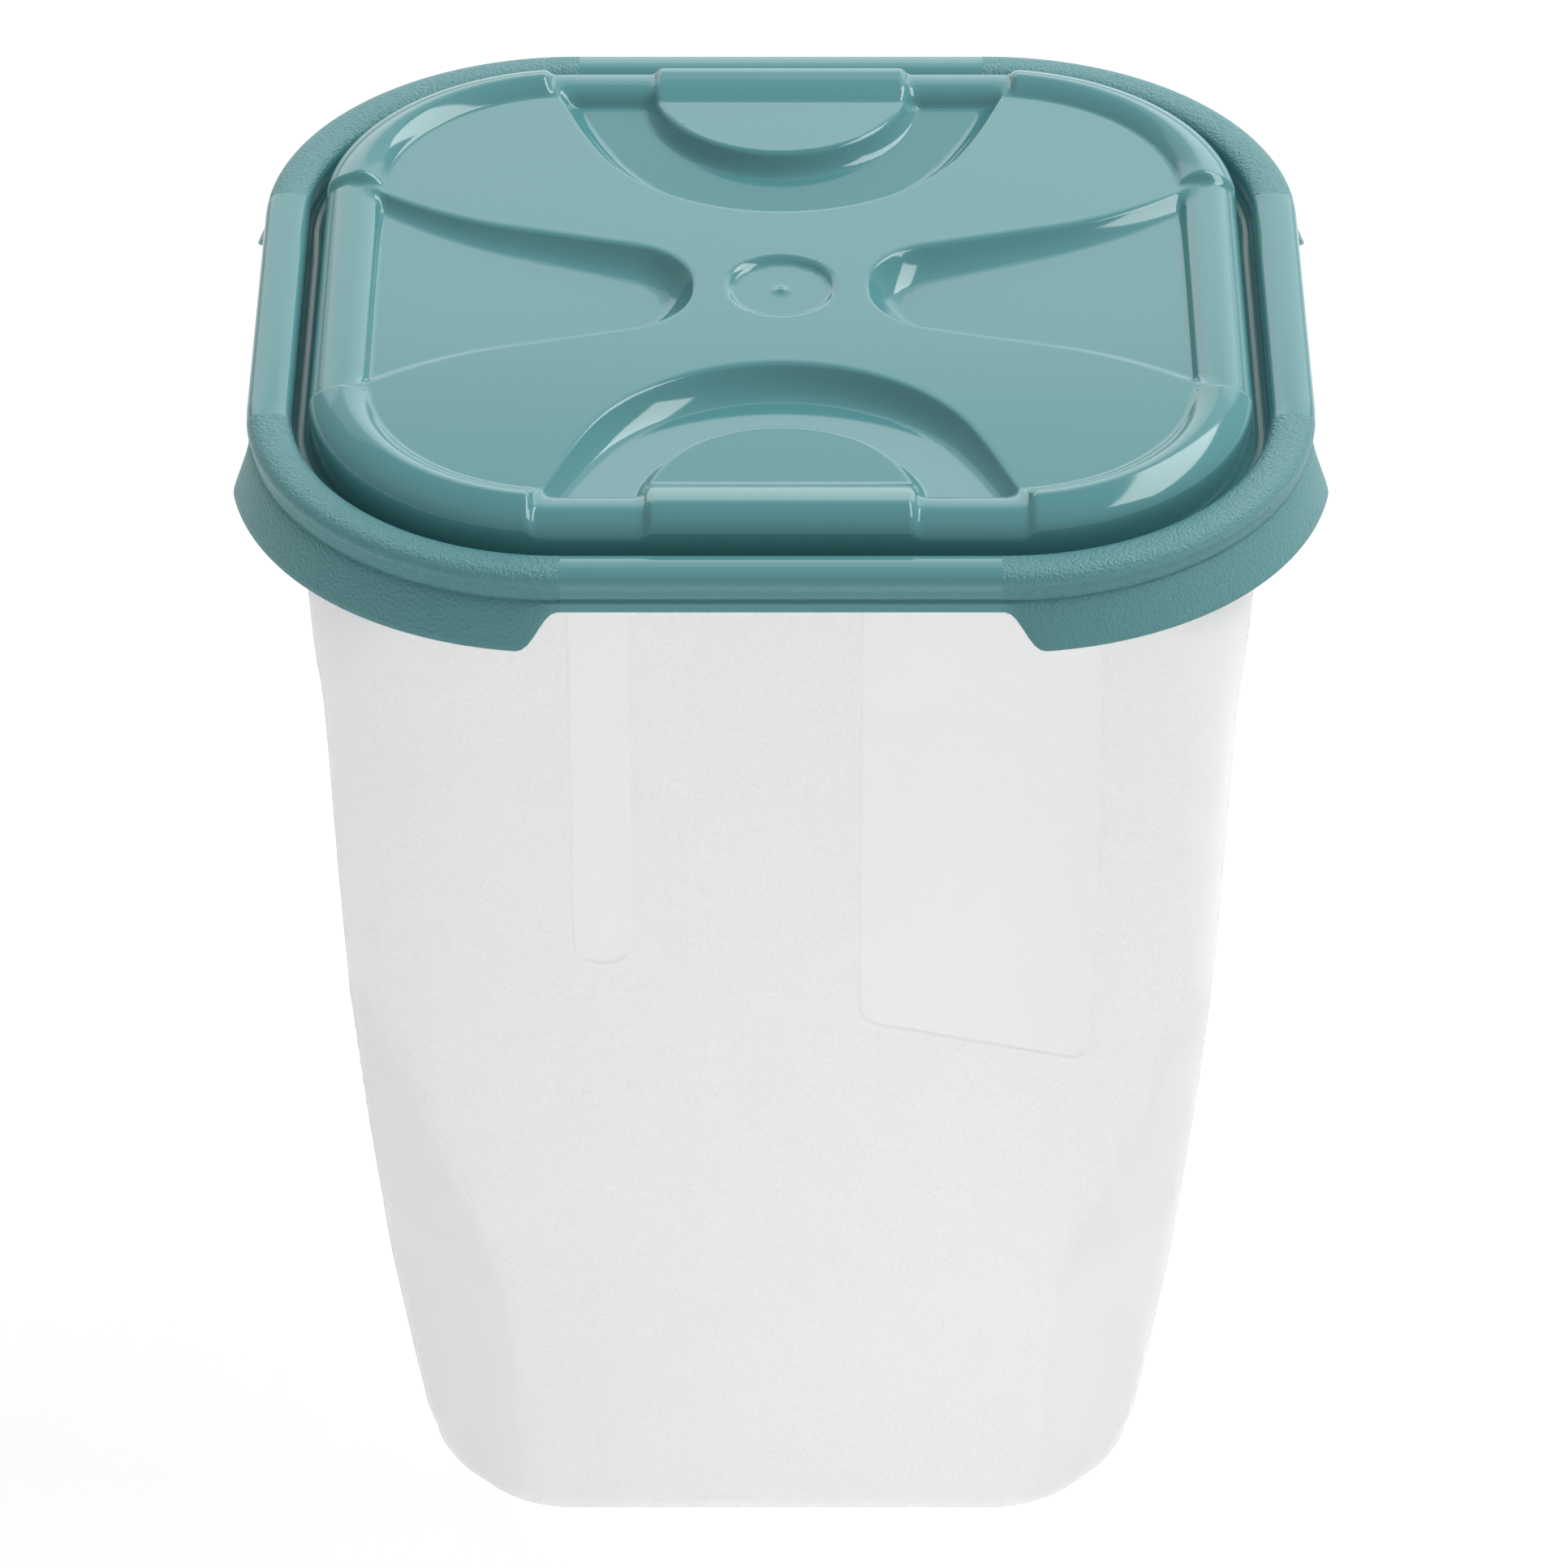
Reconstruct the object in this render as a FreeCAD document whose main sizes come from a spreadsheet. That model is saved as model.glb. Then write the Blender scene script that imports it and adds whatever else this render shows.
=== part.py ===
import FreeCAD, Part
import math
import os
import Sketcher

# A tall, nearly square food container of two mouldings: a translucent tub and a snap lid.
# Millimetres. +Z is up, -Y is the front, and the origin is the middle of the base.

Vector = FreeCAD.Vector
DOCUMENT = FreeCAD.newDocument("food_container")

# Each driving size: its name, its value and what it measures.
DRIVING_SIZES = [
    ("tub_height", 173.6, "base to the top of the tub's rim"),
    ("rim_width", 133.7, "rim wall across X, outside"),
    ("rim_depth", 123.3, "rim wall across Y, outside"),
    ("rim_corner", 38.3, "plan radius of the rim's corners, outside"),
    ("rim_wall", 1.3, "thickness of the rim wall"),
    ("lip_proud", 0.9, "how far the snap lip stands out from the rim wall"),
    ("lip_height", 1.6, "height of the snap lip"),
    ("lip_drop", 1.2, "top of the rim down to the snap lip"),
    ("lip_bevel", 0.5, "bevel on both edges of the snap lip"),
    ("ledge_width", 4.3, "step from the collar's top out to the rim, along the sides"),
    ("corner_ledge", 1.0, "the same step across the corners"),
    ("tub_wall", 1.3, "thickness of the tub's walls and ledge"),
    ("tub_floor", 1.6, "thickness of the tub's floor"),
    ("collar_height", 21.0, "kink in the wall up to the underside of the ledge"),
    ("collar_flare", 2.8, "how far the collar leans out above the kink, each side"),
    ("kink_corner", 6.0, "plan radius at the kink, outside"),
    ("wall_corner", 3.6, "plan radius of the upright corners below the kink, outside"),
    ("shoulder_drop", 39.0, "kink down to the shoulder, where the upper taper ends"),
    ("shoulder_taper", 1.7, "how far the wall comes in at the shoulder, each side"),
    ("waist_level", 45.0, "base up to the waist, where the wall begins to curve in"),
    ("waist_taper", 4.7, "how far the wall comes in at the waist, each side"),
    ("heel_level", 24.0, "base up to the heel"),
    ("heel_taper", 7.2, "how far the wall comes in at the heel, each side"),
    ("base_taper", 10.8, "how far the wall comes in at the base, each side"),
    ("base_round", 4.5, "radius of the edge between wall and base, outside"),
    ("facet_drop", 47.0, "kink down to the point of each corner facet"),
    ("facet_waist_leg", 18.0, "leg of the corner facet at the waist"),
    ("facet_base_leg", 13.0, "leg of the corner facet at the base"),
    ("lid_wall", 1.2, "thickness of the lid"),
    ("seat_gap", 0.2, "top of the rim up to the roof of the lid's channel"),
    ("rim_gap", 0.3, "clearance between the rim and the inner side of the channel"),
    ("snap_gap", 0.3, "clearance between the tub's snap lip and the lid's ridge"),
    ("ridge_proud", 0.7, "how far the lid's snap ridge stands into the channel"),
    ("ridge_height", 0.9, "height of the lid's snap ridge"),
    ("bead_round", 2.0, "radius of the bead's two upper edges"),
    ("skirt_drop", 6.0, "crest of the bead down to the lid's edge between the corners"),
    ("flare_drop", 3.9, "crest of the bead down to where the corner skirts leave it"),
    ("corner_drop", 9.6, "crest of the bead down to the lower edge of the corner skirts"),
    ("skirt_flare", 2.0, "how far the corner skirts lean out beyond the bead"),
    ("front_window", 27.5, "half the gap between corner skirts, front and rear, at its top"),
    ("side_window", 25.5, "half the gap between corner skirts, left and right, at its top"),
    ("window_lean", 4.1, "how much wider each half of that gap is at its foot"),
    ("groove_width", 2.3, "groove between the bead and the panel"),
    ("groove_depth", 4.8, "crest of the bead down to the groove's floor"),
    ("ledge_gap", 0.4, "clearance between the groove's floor and the tub's ledge"),
    ("panel_rise", 2.4, "crest of the bead up to the panel"),
    ("panel_round", 2.6, "radius of the border's outer edge"),
    ("border_rise", 1.4, "how far the corner borders stand above the panel"),
    ("border_width", 7.0, "width of the border at the corners and at the sides"),
    ("end_border", 3.6, "width of the border at the front and rear pads"),
    ("petal_mouth_depth", 1.5, "depth of a petal at the border"),
    ("side_petal_start", 11.2, "middle of the lid out to the tip of the left and right petals"),
    ("side_petal_round", 9.5, "radius of the tip of the left and right petals"),
    ("side_petal_mouth", 22.0, "half the width of the left and right petals at the border"),
    ("side_petal_depth", 3.6, "depth of the left and right petals at the tip"),
    ("end_petal_start", 19.1, "middle of the lid out to the tip of the front and rear petals"),
    ("end_petal_run", 7.75, "border in to where the round of the front and rear petals begins"),
    ("end_petal_mouth", 32.0, "half the width of the front and rear petals at the border"),
    ("end_petal_depth", 4.0, "depth of the front and rear petals at the tip"),
    ("pad_band", 15.9, "tip of a front or rear petal out to the half-round pad in it"),
    ("gate_ring", 14.8, "diameter of the ring around the moulding gate"),
    ("gate_disc", 12.4, "diameter of the disc within that ring"),
    ("gate_depth", 0.5, "depth of the ring around the gate"),
]

SHEET = DOCUMENT.addObject("Spreadsheet::Sheet", "sizes")
for row, (alias, size, meaning) in enumerate(DRIVING_SIZES, start=1):
    SHEET.set(f"A{row}", meaning)
    SHEET.set(f"B{row}", str(size))
    SHEET.setAlias(f"B{row}", alias)
DOCUMENT.recompute()

# Levels above the base, each worked out from the driving sizes.
LEDGE_TOP = "(sizes.tub_height - sizes.groove_depth + sizes.seat_gap - sizes.ledge_gap)"
LEDGE_UNDERSIDE = f"({LEDGE_TOP} - sizes.tub_wall)"
KINK = f"({LEDGE_UNDERSIDE} - sizes.collar_height)"
LIP_FOOT = "(sizes.tub_height - sizes.lip_drop - sizes.lip_height)"
CREST = "(sizes.tub_height + sizes.seat_gap + sizes.lid_wall)"
SKIRT_END = f"({CREST} - sizes.skirt_drop)"
FLARE_TOP = f"({CREST} - sizes.flare_drop)"
CORNER_END = f"({CREST} - sizes.corner_drop)"
GROOVE_FLOOR = f"({CREST} - sizes.groove_depth)"
GROOVE_UNDERSIDE = f"({GROOVE_FLOOR} - sizes.lid_wall)"
PANEL_TOP = f"({CREST} + sizes.panel_rise)"
PANEL_UNDERSIDE = f"({PANEL_TOP} - sizes.lid_wall)"

# Distances outwards from the outer face of the rim wall; a minus is towards the middle.
RIDGE_FACE = "(sizes.lip_proud + sizes.snap_gap)"
CHANNEL_OUTSIDE = f"({RIDGE_FACE} + sizes.ridge_proud)"
BEAD_OUTSIDE = f"({CHANNEL_OUTSIDE} + sizes.lid_wall)"
FLARE_OUTSIDE = f"({BEAD_OUTSIDE} + sizes.skirt_flare)"
CHANNEL_INSIDE = "(-sizes.rim_wall - sizes.rim_gap)"
BEAD_INSIDE = f"({CHANNEL_INSIDE} - sizes.lid_wall)"
PANEL_EDGE = f"({BEAD_INSIDE} - sizes.groove_width)"
HOLLOW_EDGE = f"({PANEL_EDGE} - sizes.lid_wall)"
BORDER_INSIDE = f"({PANEL_EDGE} - sizes.border_width)"

# The collar's plan radius, so that the ledge keeps its width along the sides and across the corners.
COLLAR_CORNER = ("(sizes.rim_corner - (2 * sizes.ledge_width - sqrt(2) * sizes.corner_ledge)"
                 " / (2 - sqrt(2)))")

# The petals' outer ends, and the front and rear petals' radii, from the middle of the lid.
SIDE_MOUTH = f"(sizes.rim_width / 2 + {BORDER_INSIDE})"
END_MOUTH = f"(sizes.rim_depth / 2 + {PANEL_EDGE} - sizes.end_border)"
END_ROUND = f"({END_MOUTH} - sizes.end_petal_run - sizes.end_petal_start)"
PAD_ROUND = f"({END_MOUTH} - sizes.lid_wall - sizes.end_petal_start - sizes.pad_band)"

TOLERANCE = 0.01
# In a sketch's constraints, -1 with 1 means its origin and -2 its upright axis.


def value(expression):
    """The present value of an expression of the driving sizes, as a plain number."""
    return float(SHEET.evalExpression(f"1.0 * {expression}"))


def new_sketch(body, name, plane, offset):
    """A sketch on one of the body's origin planes, moved by a placement expression."""
    support = [feature for feature in body.Origin.OriginFeatures if feature.Role == plane][0]
    sketch = body.newObject("Sketcher::SketchObject", name)
    sketch.AttachmentSupport = [(support, "")]
    sketch.MapMode = "FlatFace"
    sketch.setExpression("AttachmentOffset", offset)
    return sketch


def at_level(level, turn="0", tilt="0"):
    """Placement expression: a height, a turn about the upright axis and a tilt of the far side."""
    return f"placement(vector(0; 0; {level}); rotation({turn}; 0; {tilt}))"


def bind(sketch, constraint, expression):
    """Adds a dimension to a sketch and ties it to an expression of the driving sizes."""
    index = sketch.addConstraint(constraint)
    sketch.setExpression(f"Constraints[{index}]", expression)


def bind_point(sketch, edge, end, across, along):
    """Ties one end of an edge to its distances from the sketch's origin."""
    for kind, expression in (("DistanceX", across), ("DistanceY", along)):
        distance = Sketcher.Constraint(kind, -1, 1, edge, end, value(expression))
        bind(sketch, distance, expression)


def draw_polygon(sketch, corners):
    """A closed outline of straight edges through corners given as pairs of expressions."""
    points = [Vector(value(across), value(along), 0) for across, along in corners]
    edges = []
    for start, end in zip(points, points[1:] + points[:1]):
        edges.append(sketch.addGeometry(Part.LineSegment(start, end), False))
    for edge, following in zip(edges, edges[1:] + edges[:1]):
        sketch.addConstraint(Sketcher.Constraint("Coincident", edge, 2, following, 1))
    for edge, (across, along) in zip(edges, corners):
        bind_point(sketch, edge, 1, across, along)


def draw_rounded_rectangle(sketch, half_width, half_depth, corner):
    """A centred rounded rectangle, its three sizes tied to expressions."""
    reach_x, reach_y, radius = value(half_width), value(half_depth), value(corner)
    arcs = []
    for quarter, (sign_x, sign_y) in enumerate(((1, 1), (-1, 1), (-1, -1), (1, -1))):
        centre = Vector(sign_x * (reach_x - radius), sign_y * (reach_y - radius), 0)
        circle = Part.Circle(centre, Vector(0, 0, 1), radius)
        start = quarter * math.pi / 2
        arcs.append(sketch.addGeometry(Part.ArcOfCircle(circle, start, start + math.pi / 2), False))
    for side, arc in enumerate(arcs):
        following = arcs[(side + 1) % 4]
        ends = Part.LineSegment(sketch.getPoint(arc, 2), sketch.getPoint(following, 1))
        line = sketch.addGeometry(ends, False)
        sketch.addConstraint(Sketcher.Constraint("Tangent", arc, 2, line, 1))
        sketch.addConstraint(Sketcher.Constraint("Tangent", line, 2, following, 1))
        sketch.addConstraint(Sketcher.Constraint("Vertical" if side % 2 else "Horizontal", line))
        if side:
            sketch.addConstraint(Sketcher.Constraint("Equal", arcs[0], arc))
    right_side = line
    top_side = right_side - 3
    sketch.addConstraint(Sketcher.Constraint("Symmetric", arcs[0], 3, arcs[2], 3, -1, 1))
    bind(sketch, Sketcher.Constraint("DistanceX", -1, 1, right_side, 1, reach_x), half_width)
    bind(sketch, Sketcher.Constraint("DistanceY", -1, 1, top_side, 1, reach_y), half_depth)
    bind(sketch, Sketcher.Constraint("Radius", arcs[0], radius), corner)


def draw_arch(sketch, centre, radius, mouth, half_mouth):
    """A half circle about a point ahead of the origin, and its two sides running on to a straight mouth."""
    middle, reach, far, half = value(centre), value(radius), value(mouth), value(half_mouth)
    circle = Part.Circle(Vector(0, middle, 0), Vector(0, 0, 1), reach)
    arc = sketch.addGeometry(Part.ArcOfCircle(circle, math.pi, 2 * math.pi), False)
    places = ((reach, middle), (half, far), (-half, far), (-reach, middle))
    corners = [Vector(across, along, 0) for across, along in places]
    right, across, left = [sketch.addGeometry(Part.LineSegment(start, end), False)
                           for start, end in zip(corners, corners[1:])]
    for first, second in ((arc, right), (right, across), (across, left), (left, arc)):
        sketch.addConstraint(Sketcher.Constraint("Coincident", first, 2, second, 1))
    sketch.addConstraint(Sketcher.Constraint("PointOnObject", arc, 3, -2))
    sketch.addConstraint(Sketcher.Constraint("Horizontal", arc, 3, arc, 1))
    sketch.addConstraint(Sketcher.Constraint("Horizontal", arc, 3, arc, 2))
    sketch.addConstraint(Sketcher.Constraint("Symmetric", across, 1, across, 2, -2))
    bind(sketch, Sketcher.Constraint("DistanceY", -1, 1, arc, 3, middle), centre)
    bind(sketch, Sketcher.Constraint("Radius", arc, reach), radius)
    bind_point(sketch, across, 1, half_mouth, mouth)


def draw_circle(sketch, radius):
    """A circle about the sketch's origin."""
    circle = sketch.addGeometry(Part.Circle(Vector(0, 0, 0), Vector(0, 0, 1), value(radius)), False)
    sketch.addConstraint(Sketcher.Constraint("Coincident", circle, 3, -1, 1))
    bind(sketch, Sketcher.Constraint("Radius", circle, value(radius)), radius)


def rim_outline(offset):
    """The rim's outline moved outwards: half width, half depth and corner radius."""
    rim = ("sizes.rim_width / 2", "sizes.rim_depth / 2", "sizes.rim_corner")
    return [f"({size} + {offset})" for size in rim]


def body_outline(taper, corner, inset):
    """The tub's outline below the rim, drawn in by a taper and by an inset from its outer face."""
    step = f"sizes.ledge_width + sizes.collar_flare + {taper} + {inset}"
    return [f"(sizes.rim_width / 2 - ({step}))", f"(sizes.rim_depth / 2 - ({step}))", f"({corner} - {inset})"]


def outline_sketch(body, name, level, outline):
    """A rounded rectangle at a level."""
    sketch = new_sketch(body, name, "XY_Plane", at_level(level))
    draw_rounded_rectangle(sketch, *outline)
    return sketch


def extrude(body, kind, name, sketch, length, upwards=True):
    """A pad or pocket of a sketch along its normal, or against it."""
    feature = body.newObject(f"PartDesign::{kind}", name)
    feature.Profile = sketch
    feature.setExpression("Length", length)
    feature.Reversed = upwards == (kind == "Pocket")
    DOCUMENT.recompute()
    return feature


def loft(body, kind, name, sketches, ruled):
    """A solid or a cut that passes through several sketches."""
    feature = body.newObject(f"PartDesign::{kind}", name)
    feature.Profile = sketches[0]
    feature.Sections = [(sketch, [""]) for sketch in sketches[1:]]
    feature.Ruled = ruled
    DOCUMENT.recompute()
    return feature


def edges_where(feature, test):
    """Names of a feature's edges whose points all satisfy a test."""
    names = []
    for number, edge in enumerate(feature.Shape.Edges, start=1):
        if all(test(point) for point in edge.discretize(3)):
            names.append(f"Edge{number}")
    return names


def round_edges(body, kind, name, feature, edges, size_name, expression):
    """A fillet or a chamfer on chosen edges."""
    dressing = body.newObject(f"PartDesign::{kind}", name)
    dressing.Base = (feature, edges)
    dressing.setExpression(size_name, expression)
    DOCUMENT.recompute()
    return dressing


def is_level(point, level):
    return abs(point.z - level) < TOLERANCE


def rim_distance(point):
    """How far a point lies outside the rim's outline, seen from above."""
    half_x, half_y, radius = [value(size) for size in rim_outline("0")]
    over_x = abs(point.x) - half_x + radius
    over_y = abs(point.y) - half_y + radius
    if min(over_x, over_y) > 0:
        return math.hypot(over_x, over_y) - radius
    return max(over_x, over_y) - radius


def cut_corner_facets(body, inset):
    """Slices the four lower corners by planes that lean out from the base to a point high on each corner."""
    overrun = "sizes.base_round"
    shoulder = body_outline("sizes.shoulder_taper", "sizes.wall_corner", "0")
    waist = body_outline("sizes.waist_taper", "sizes.wall_corner", "0")
    base = body_outline("sizes.base_taper", "sizes.wall_corner", "0")
    touch_leg = "(2 - sqrt(2)) * sizes.wall_corner"

    def diagonal(outline, leg):
        return f"(({outline[0]} + {outline[1]} - {leg}) / sqrt(2) - {inset})"

    tip = diagonal(shoulder, touch_leg)
    hip = diagonal(waist, "sizes.facet_waist_leg")
    foot = diagonal(base, "sizes.facet_base_leg")
    tip_level = f"({KINK} - sizes.facet_drop)"
    rise_per_run = f"(({tip_level} - sizes.waist_level) / ({tip} - {hip}))"
    outside = f"({tip} + sizes.facet_waist_leg)"
    profile = [
        (foot, "0.0"),
        (outside, "0.0"),
        (outside, f"({tip_level} + sizes.facet_waist_leg * {rise_per_run} + {overrun})"),
        (hip, f"(sizes.waist_level + {overrun})"),
        (foot, overrun),
    ]
    for number in range(4):
        turn = 45 + 90 * number
        offset = f"placement(vector(0; -{overrun}; 0); rotation(0; {turn}; 0))"
        sketch = new_sketch(body, f"{body.Name}_facet_{number}", "XZ_Plane", offset)
        draw_polygon(sketch, profile)
        facet = extrude(body, "Pocket", f"{body.Name}_facet_cut_{number}", sketch, "2 * sizes.rim_width")
        facet.SideType = "Symmetric"
        DOCUMENT.recompute()
    return facet


def tub_form(name, inset, floor, collar_top):
    """The tub's body as one solid, up to the top of the collar, drawn in by an inset all round."""
    body = DOCUMENT.addObject("PartDesign::Body", name)
    stations = [
        ("base", floor, "sizes.base_taper", "sizes.wall_corner"),
        ("heel", "sizes.heel_level", "sizes.heel_taper", "sizes.wall_corner"),
        ("waist", "sizes.waist_level", "sizes.waist_taper", "sizes.wall_corner"),
        ("shoulder", f"({KINK} - sizes.shoulder_drop)", "sizes.shoulder_taper", "sizes.wall_corner"),
        ("kink", KINK, "0", "sizes.kink_corner"),
        ("collar", collar_top, "(-sizes.collar_flare)", COLLAR_CORNER),
    ]
    sketches = []
    for station, level, taper, corner in stations:
        outline = body_outline(taper, corner, inset)
        sketches.append(outline_sketch(body, f"{name}_{station}", level, outline))
    loft(body, "AdditiveLoft", f"{name}_walls", sketches[:-1], ruled=False)
    loft(body, "AdditiveLoft", f"{name}_collar_form", sketches[-2:], ruled=True)
    faceted = cut_corner_facets(body, inset)
    base_level = value(floor)
    foot_edges = edges_where(faceted, lambda point: is_level(point, base_level))
    round_edges(body, "Fillet", f"{name}_foot", faceted, foot_edges, "Radius", f"sizes.base_round - {inset}")
    return body


def build_tub():
    """Floor, walls, collar, ledge, rim and snap lip in one moulding."""
    outside = tub_form("tub_outside", "0", "0", LEDGE_UNDERSIDE)
    rim = outline_sketch(outside, "rim_outline", LEDGE_UNDERSIDE, rim_outline("0"))
    extrude(outside, "Pad", "rim_band", rim, f"sizes.tub_height - {LEDGE_UNDERSIDE}")
    lip = outline_sketch(outside, "lip_outline", LIP_FOOT, rim_outline("sizes.lip_proud"))
    lip_band = extrude(outside, "Pad", "lip_band", lip, "sizes.lip_height")
    lip_face = value("sizes.lip_proud")
    lip_levels = (value(LIP_FOOT), value(f"{LIP_FOOT} + sizes.lip_height"))

    def on_lip_edge(point):
        at_edge = any(is_level(point, level) for level in lip_levels)
        return at_edge and abs(rim_distance(point) - lip_face) < TOLERANCE

    round_edges(outside, "Chamfer", "lip_bevels", lip_band, edges_where(lip_band, on_lip_edge),
                "Size", "sizes.lip_bevel")

    cavity = tub_form("tub_cavity", "sizes.tub_wall", "sizes.tub_floor", LEDGE_TOP)
    mouth = outline_sketch(cavity, "mouth_outline", LEDGE_TOP, rim_outline("-sizes.rim_wall"))
    extrude(cavity, "Pad", "mouth", mouth, f"2 * (sizes.tub_height - {LEDGE_TOP})")

    tub = DOCUMENT.addObject("Part::Cut", "tub")
    tub.Base = outside
    tub.Tool = cavity
    return tub


def add_corner_skirts(body):
    """A flared cone below the bead, notched between the corners so that four finger skirts are left."""
    flare_top = outline_sketch(body, "flare_top", FLARE_TOP, rim_outline(BEAD_OUTSIDE))
    flare_foot = outline_sketch(body, "flare_foot", CORNER_END, rim_outline(FLARE_OUTSIDE))
    loft(body, "AdditiveLoft", "skirt_cone", [flare_foot, flare_top], ruled=True)
    notch_depth = f"(sizes.skirt_flare + {BEAD_OUTSIDE} - {BEAD_INSIDE})"
    for name, half_side, half_gap, turn, across, along in (
            ("front", "sizes.rim_depth / 2", "sizes.front_window", 0, 0, 1),
            ("right", "sizes.rim_width / 2", "sizes.side_window", 90, 1, 0),
            ("rear", "sizes.rim_depth / 2", "sizes.front_window", 180, 0, -1),
            ("left", "sizes.rim_width / 2", "sizes.side_window", 270, -1, 0)):
        reach = f"({half_side} + {FLARE_OUTSIDE})"
        place = f"vector({across} * {reach}; {CORNER_END}; {along} * {reach})"
        sketch = new_sketch(body, f"{name}_gap", "XZ_Plane", f"placement({place}; rotation(0; {turn}; 0))")
        gap_height = "(sizes.corner_drop - sizes.flare_drop)"
        wide = f"({half_gap} + sizes.window_lean)"
        top_left, top_right = (f"-{half_gap}", gap_height), (half_gap, gap_height)
        draw_polygon(sketch, [(f"-{wide}", "0.0"), (wide, "0.0"), top_right, top_left])
        extrude(body, "Pocket", f"{name}_gap_cut", sketch, notch_depth, upwards=False)


def add_bead_and_channel(body):
    """The round-topped bead, its channel for the tub's rim, the snap ridge, the groove and the panel."""
    rim_block = outline_sketch(body, "bead_block", SKIRT_END, rim_outline(BEAD_OUTSIDE))
    extrude(body, "Pad", "bead", rim_block, "sizes.skirt_drop")

    void_top = outline_sketch(body, "void_top", SKIRT_END, rim_outline(CHANNEL_OUTSIDE))
    flare_inside = f"({FLARE_OUTSIDE} - sizes.lid_wall)"
    void_foot = outline_sketch(body, "void_foot", CORNER_END, rim_outline(flare_inside))
    loft(body, "SubtractiveLoft", "skirt_void", [void_foot, void_top], ruled=True)
    channel = outline_sketch(body, "channel", SKIRT_END, rim_outline(CHANNEL_OUTSIDE))
    extrude(body, "Pocket", "channel_cut", channel, "sizes.skirt_drop - sizes.lid_wall")

    ridge = outline_sketch(body, "ridge", SKIRT_END, rim_outline(CHANNEL_OUTSIDE))
    draw_rounded_rectangle(ridge, *rim_outline(RIDGE_FACE))
    extrude(body, "Pad", "snap_ridge", ridge, "sizes.ridge_height")

    tray = outline_sketch(body, "tray", GROOVE_UNDERSIDE, rim_outline(CHANNEL_INSIDE))
    extrude(body, "Pad", "groove_tray", tray, "sizes.groove_depth + sizes.lid_wall")
    groove = outline_sketch(body, "groove", CREST, rim_outline(BEAD_INSIDE))
    draw_rounded_rectangle(groove, *rim_outline(PANEL_EDGE))
    grooved = extrude(body, "Pocket", "groove_cut", groove, "sizes.groove_depth", upwards=False)

    crest = value(CREST)
    bead_faces = (value(BEAD_OUTSIDE), value(BEAD_INSIDE))

    def on_bead_edge(point):
        at_face = any(abs(rim_distance(point) - face) < TOLERANCE for face in bead_faces)
        return at_face and is_level(point, crest)

    round_edges(body, "Fillet", "bead_round_top", grooved, edges_where(grooved, on_bead_edge),
                "Radius", "sizes.bead_round")


def add_panel(body):
    """The raised panel with its border, hollow below."""
    panel = outline_sketch(body, "panel", CREST, rim_outline(PANEL_EDGE))
    raised = extrude(body, "Pad", "panel_block", panel, "sizes.panel_rise + sizes.border_rise")
    border_top = value(f"{PANEL_TOP} + sizes.border_rise")
    top_edges = edges_where(raised, lambda point: is_level(point, border_top))
    round_edges(body, "Fillet", "border_round", raised, top_edges, "Radius", "sizes.panel_round")
    field = outline_sketch(body, "field", f"({PANEL_TOP} + sizes.border_rise)", rim_outline(BORDER_INSIDE))
    extrude(body, "Pocket", "field_cut", field, "sizes.border_rise", upwards=False)
    hollow = outline_sketch(body, "hollow", GROOVE_UNDERSIDE, rim_outline(HOLLOW_EDGE))
    extrude(body, "Pocket", "hollow_cut", hollow, f"{PANEL_UNDERSIDE} - {GROOVE_UNDERSIDE}")


def add_petal(body, name, turn, start, radius, mouth, half_mouth, depth, border, pad_radius=None):
    """One sunk petal: deep at its tip, rising to the border, with a floor as thick as the rest of the lid."""
    centre = f"({start} + {radius})"
    tilt = f"atan(({depth} - sizes.petal_mouth_depth) / ({mouth} - {start}))"
    floor_at_middle = f"({PANEL_TOP} - {depth} - {start} * tan({tilt}))"
    grown = [f"({size} + sizes.lid_wall)" for size in (radius, mouth, half_mouth)]

    block = new_sketch(body, f"{name}_block", "XY_Plane", at_level(PANEL_UNDERSIDE, turn))
    draw_arch(block, centre, *grown)
    extrude(body, "Pad", f"{name}_block_pad", block, f"{depth}", upwards=False)

    under = new_sketch(body, f"{name}_under", "XY_Plane",
                       at_level(f"({floor_at_middle} - sizes.lid_wall)", turn, tilt))
    wide = f"({half_mouth} + 2 * sizes.lid_wall)"
    near = f"({start} - 2 * sizes.lid_wall)"
    far = f"({mouth} + 2 * sizes.lid_wall)"
    draw_polygon(under, [(f"-{wide}", near), (wide, near), (wide, far), (f"-{wide}", far)])
    extrude(body, "Pocket", f"{name}_under_cut", under, f"2 * {depth}", upwards=False)

    hollow = new_sketch(body, f"{name}_hollow", "XY_Plane", at_level(floor_at_middle, turn, tilt))
    draw_arch(hollow, centre, radius, mouth, half_mouth)
    if pad_radius:
        pad_centre = f"({mouth} - sizes.lid_wall)"
        draw_arch(hollow, pad_centre, pad_radius, f"({mouth} - 0.5 * sizes.lid_wall)", pad_radius)
    extrude(body, "Pocket", f"{name}_hollow_cut", hollow, f"2 * {depth}")

    gap = new_sketch(body, f"{name}_border_gap", "XY_Plane", at_level(PANEL_TOP, turn))
    inner, outer = f"({mouth} - sizes.lid_wall)", f"({mouth} + {border})"
    left = f"-{half_mouth}"
    draw_polygon(gap, [(left, inner), (half_mouth, inner), (half_mouth, outer), (left, outer)])
    extrude(body, "Pocket", f"{name}_border_gap_cut", gap, "2 * sizes.border_rise")


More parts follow.
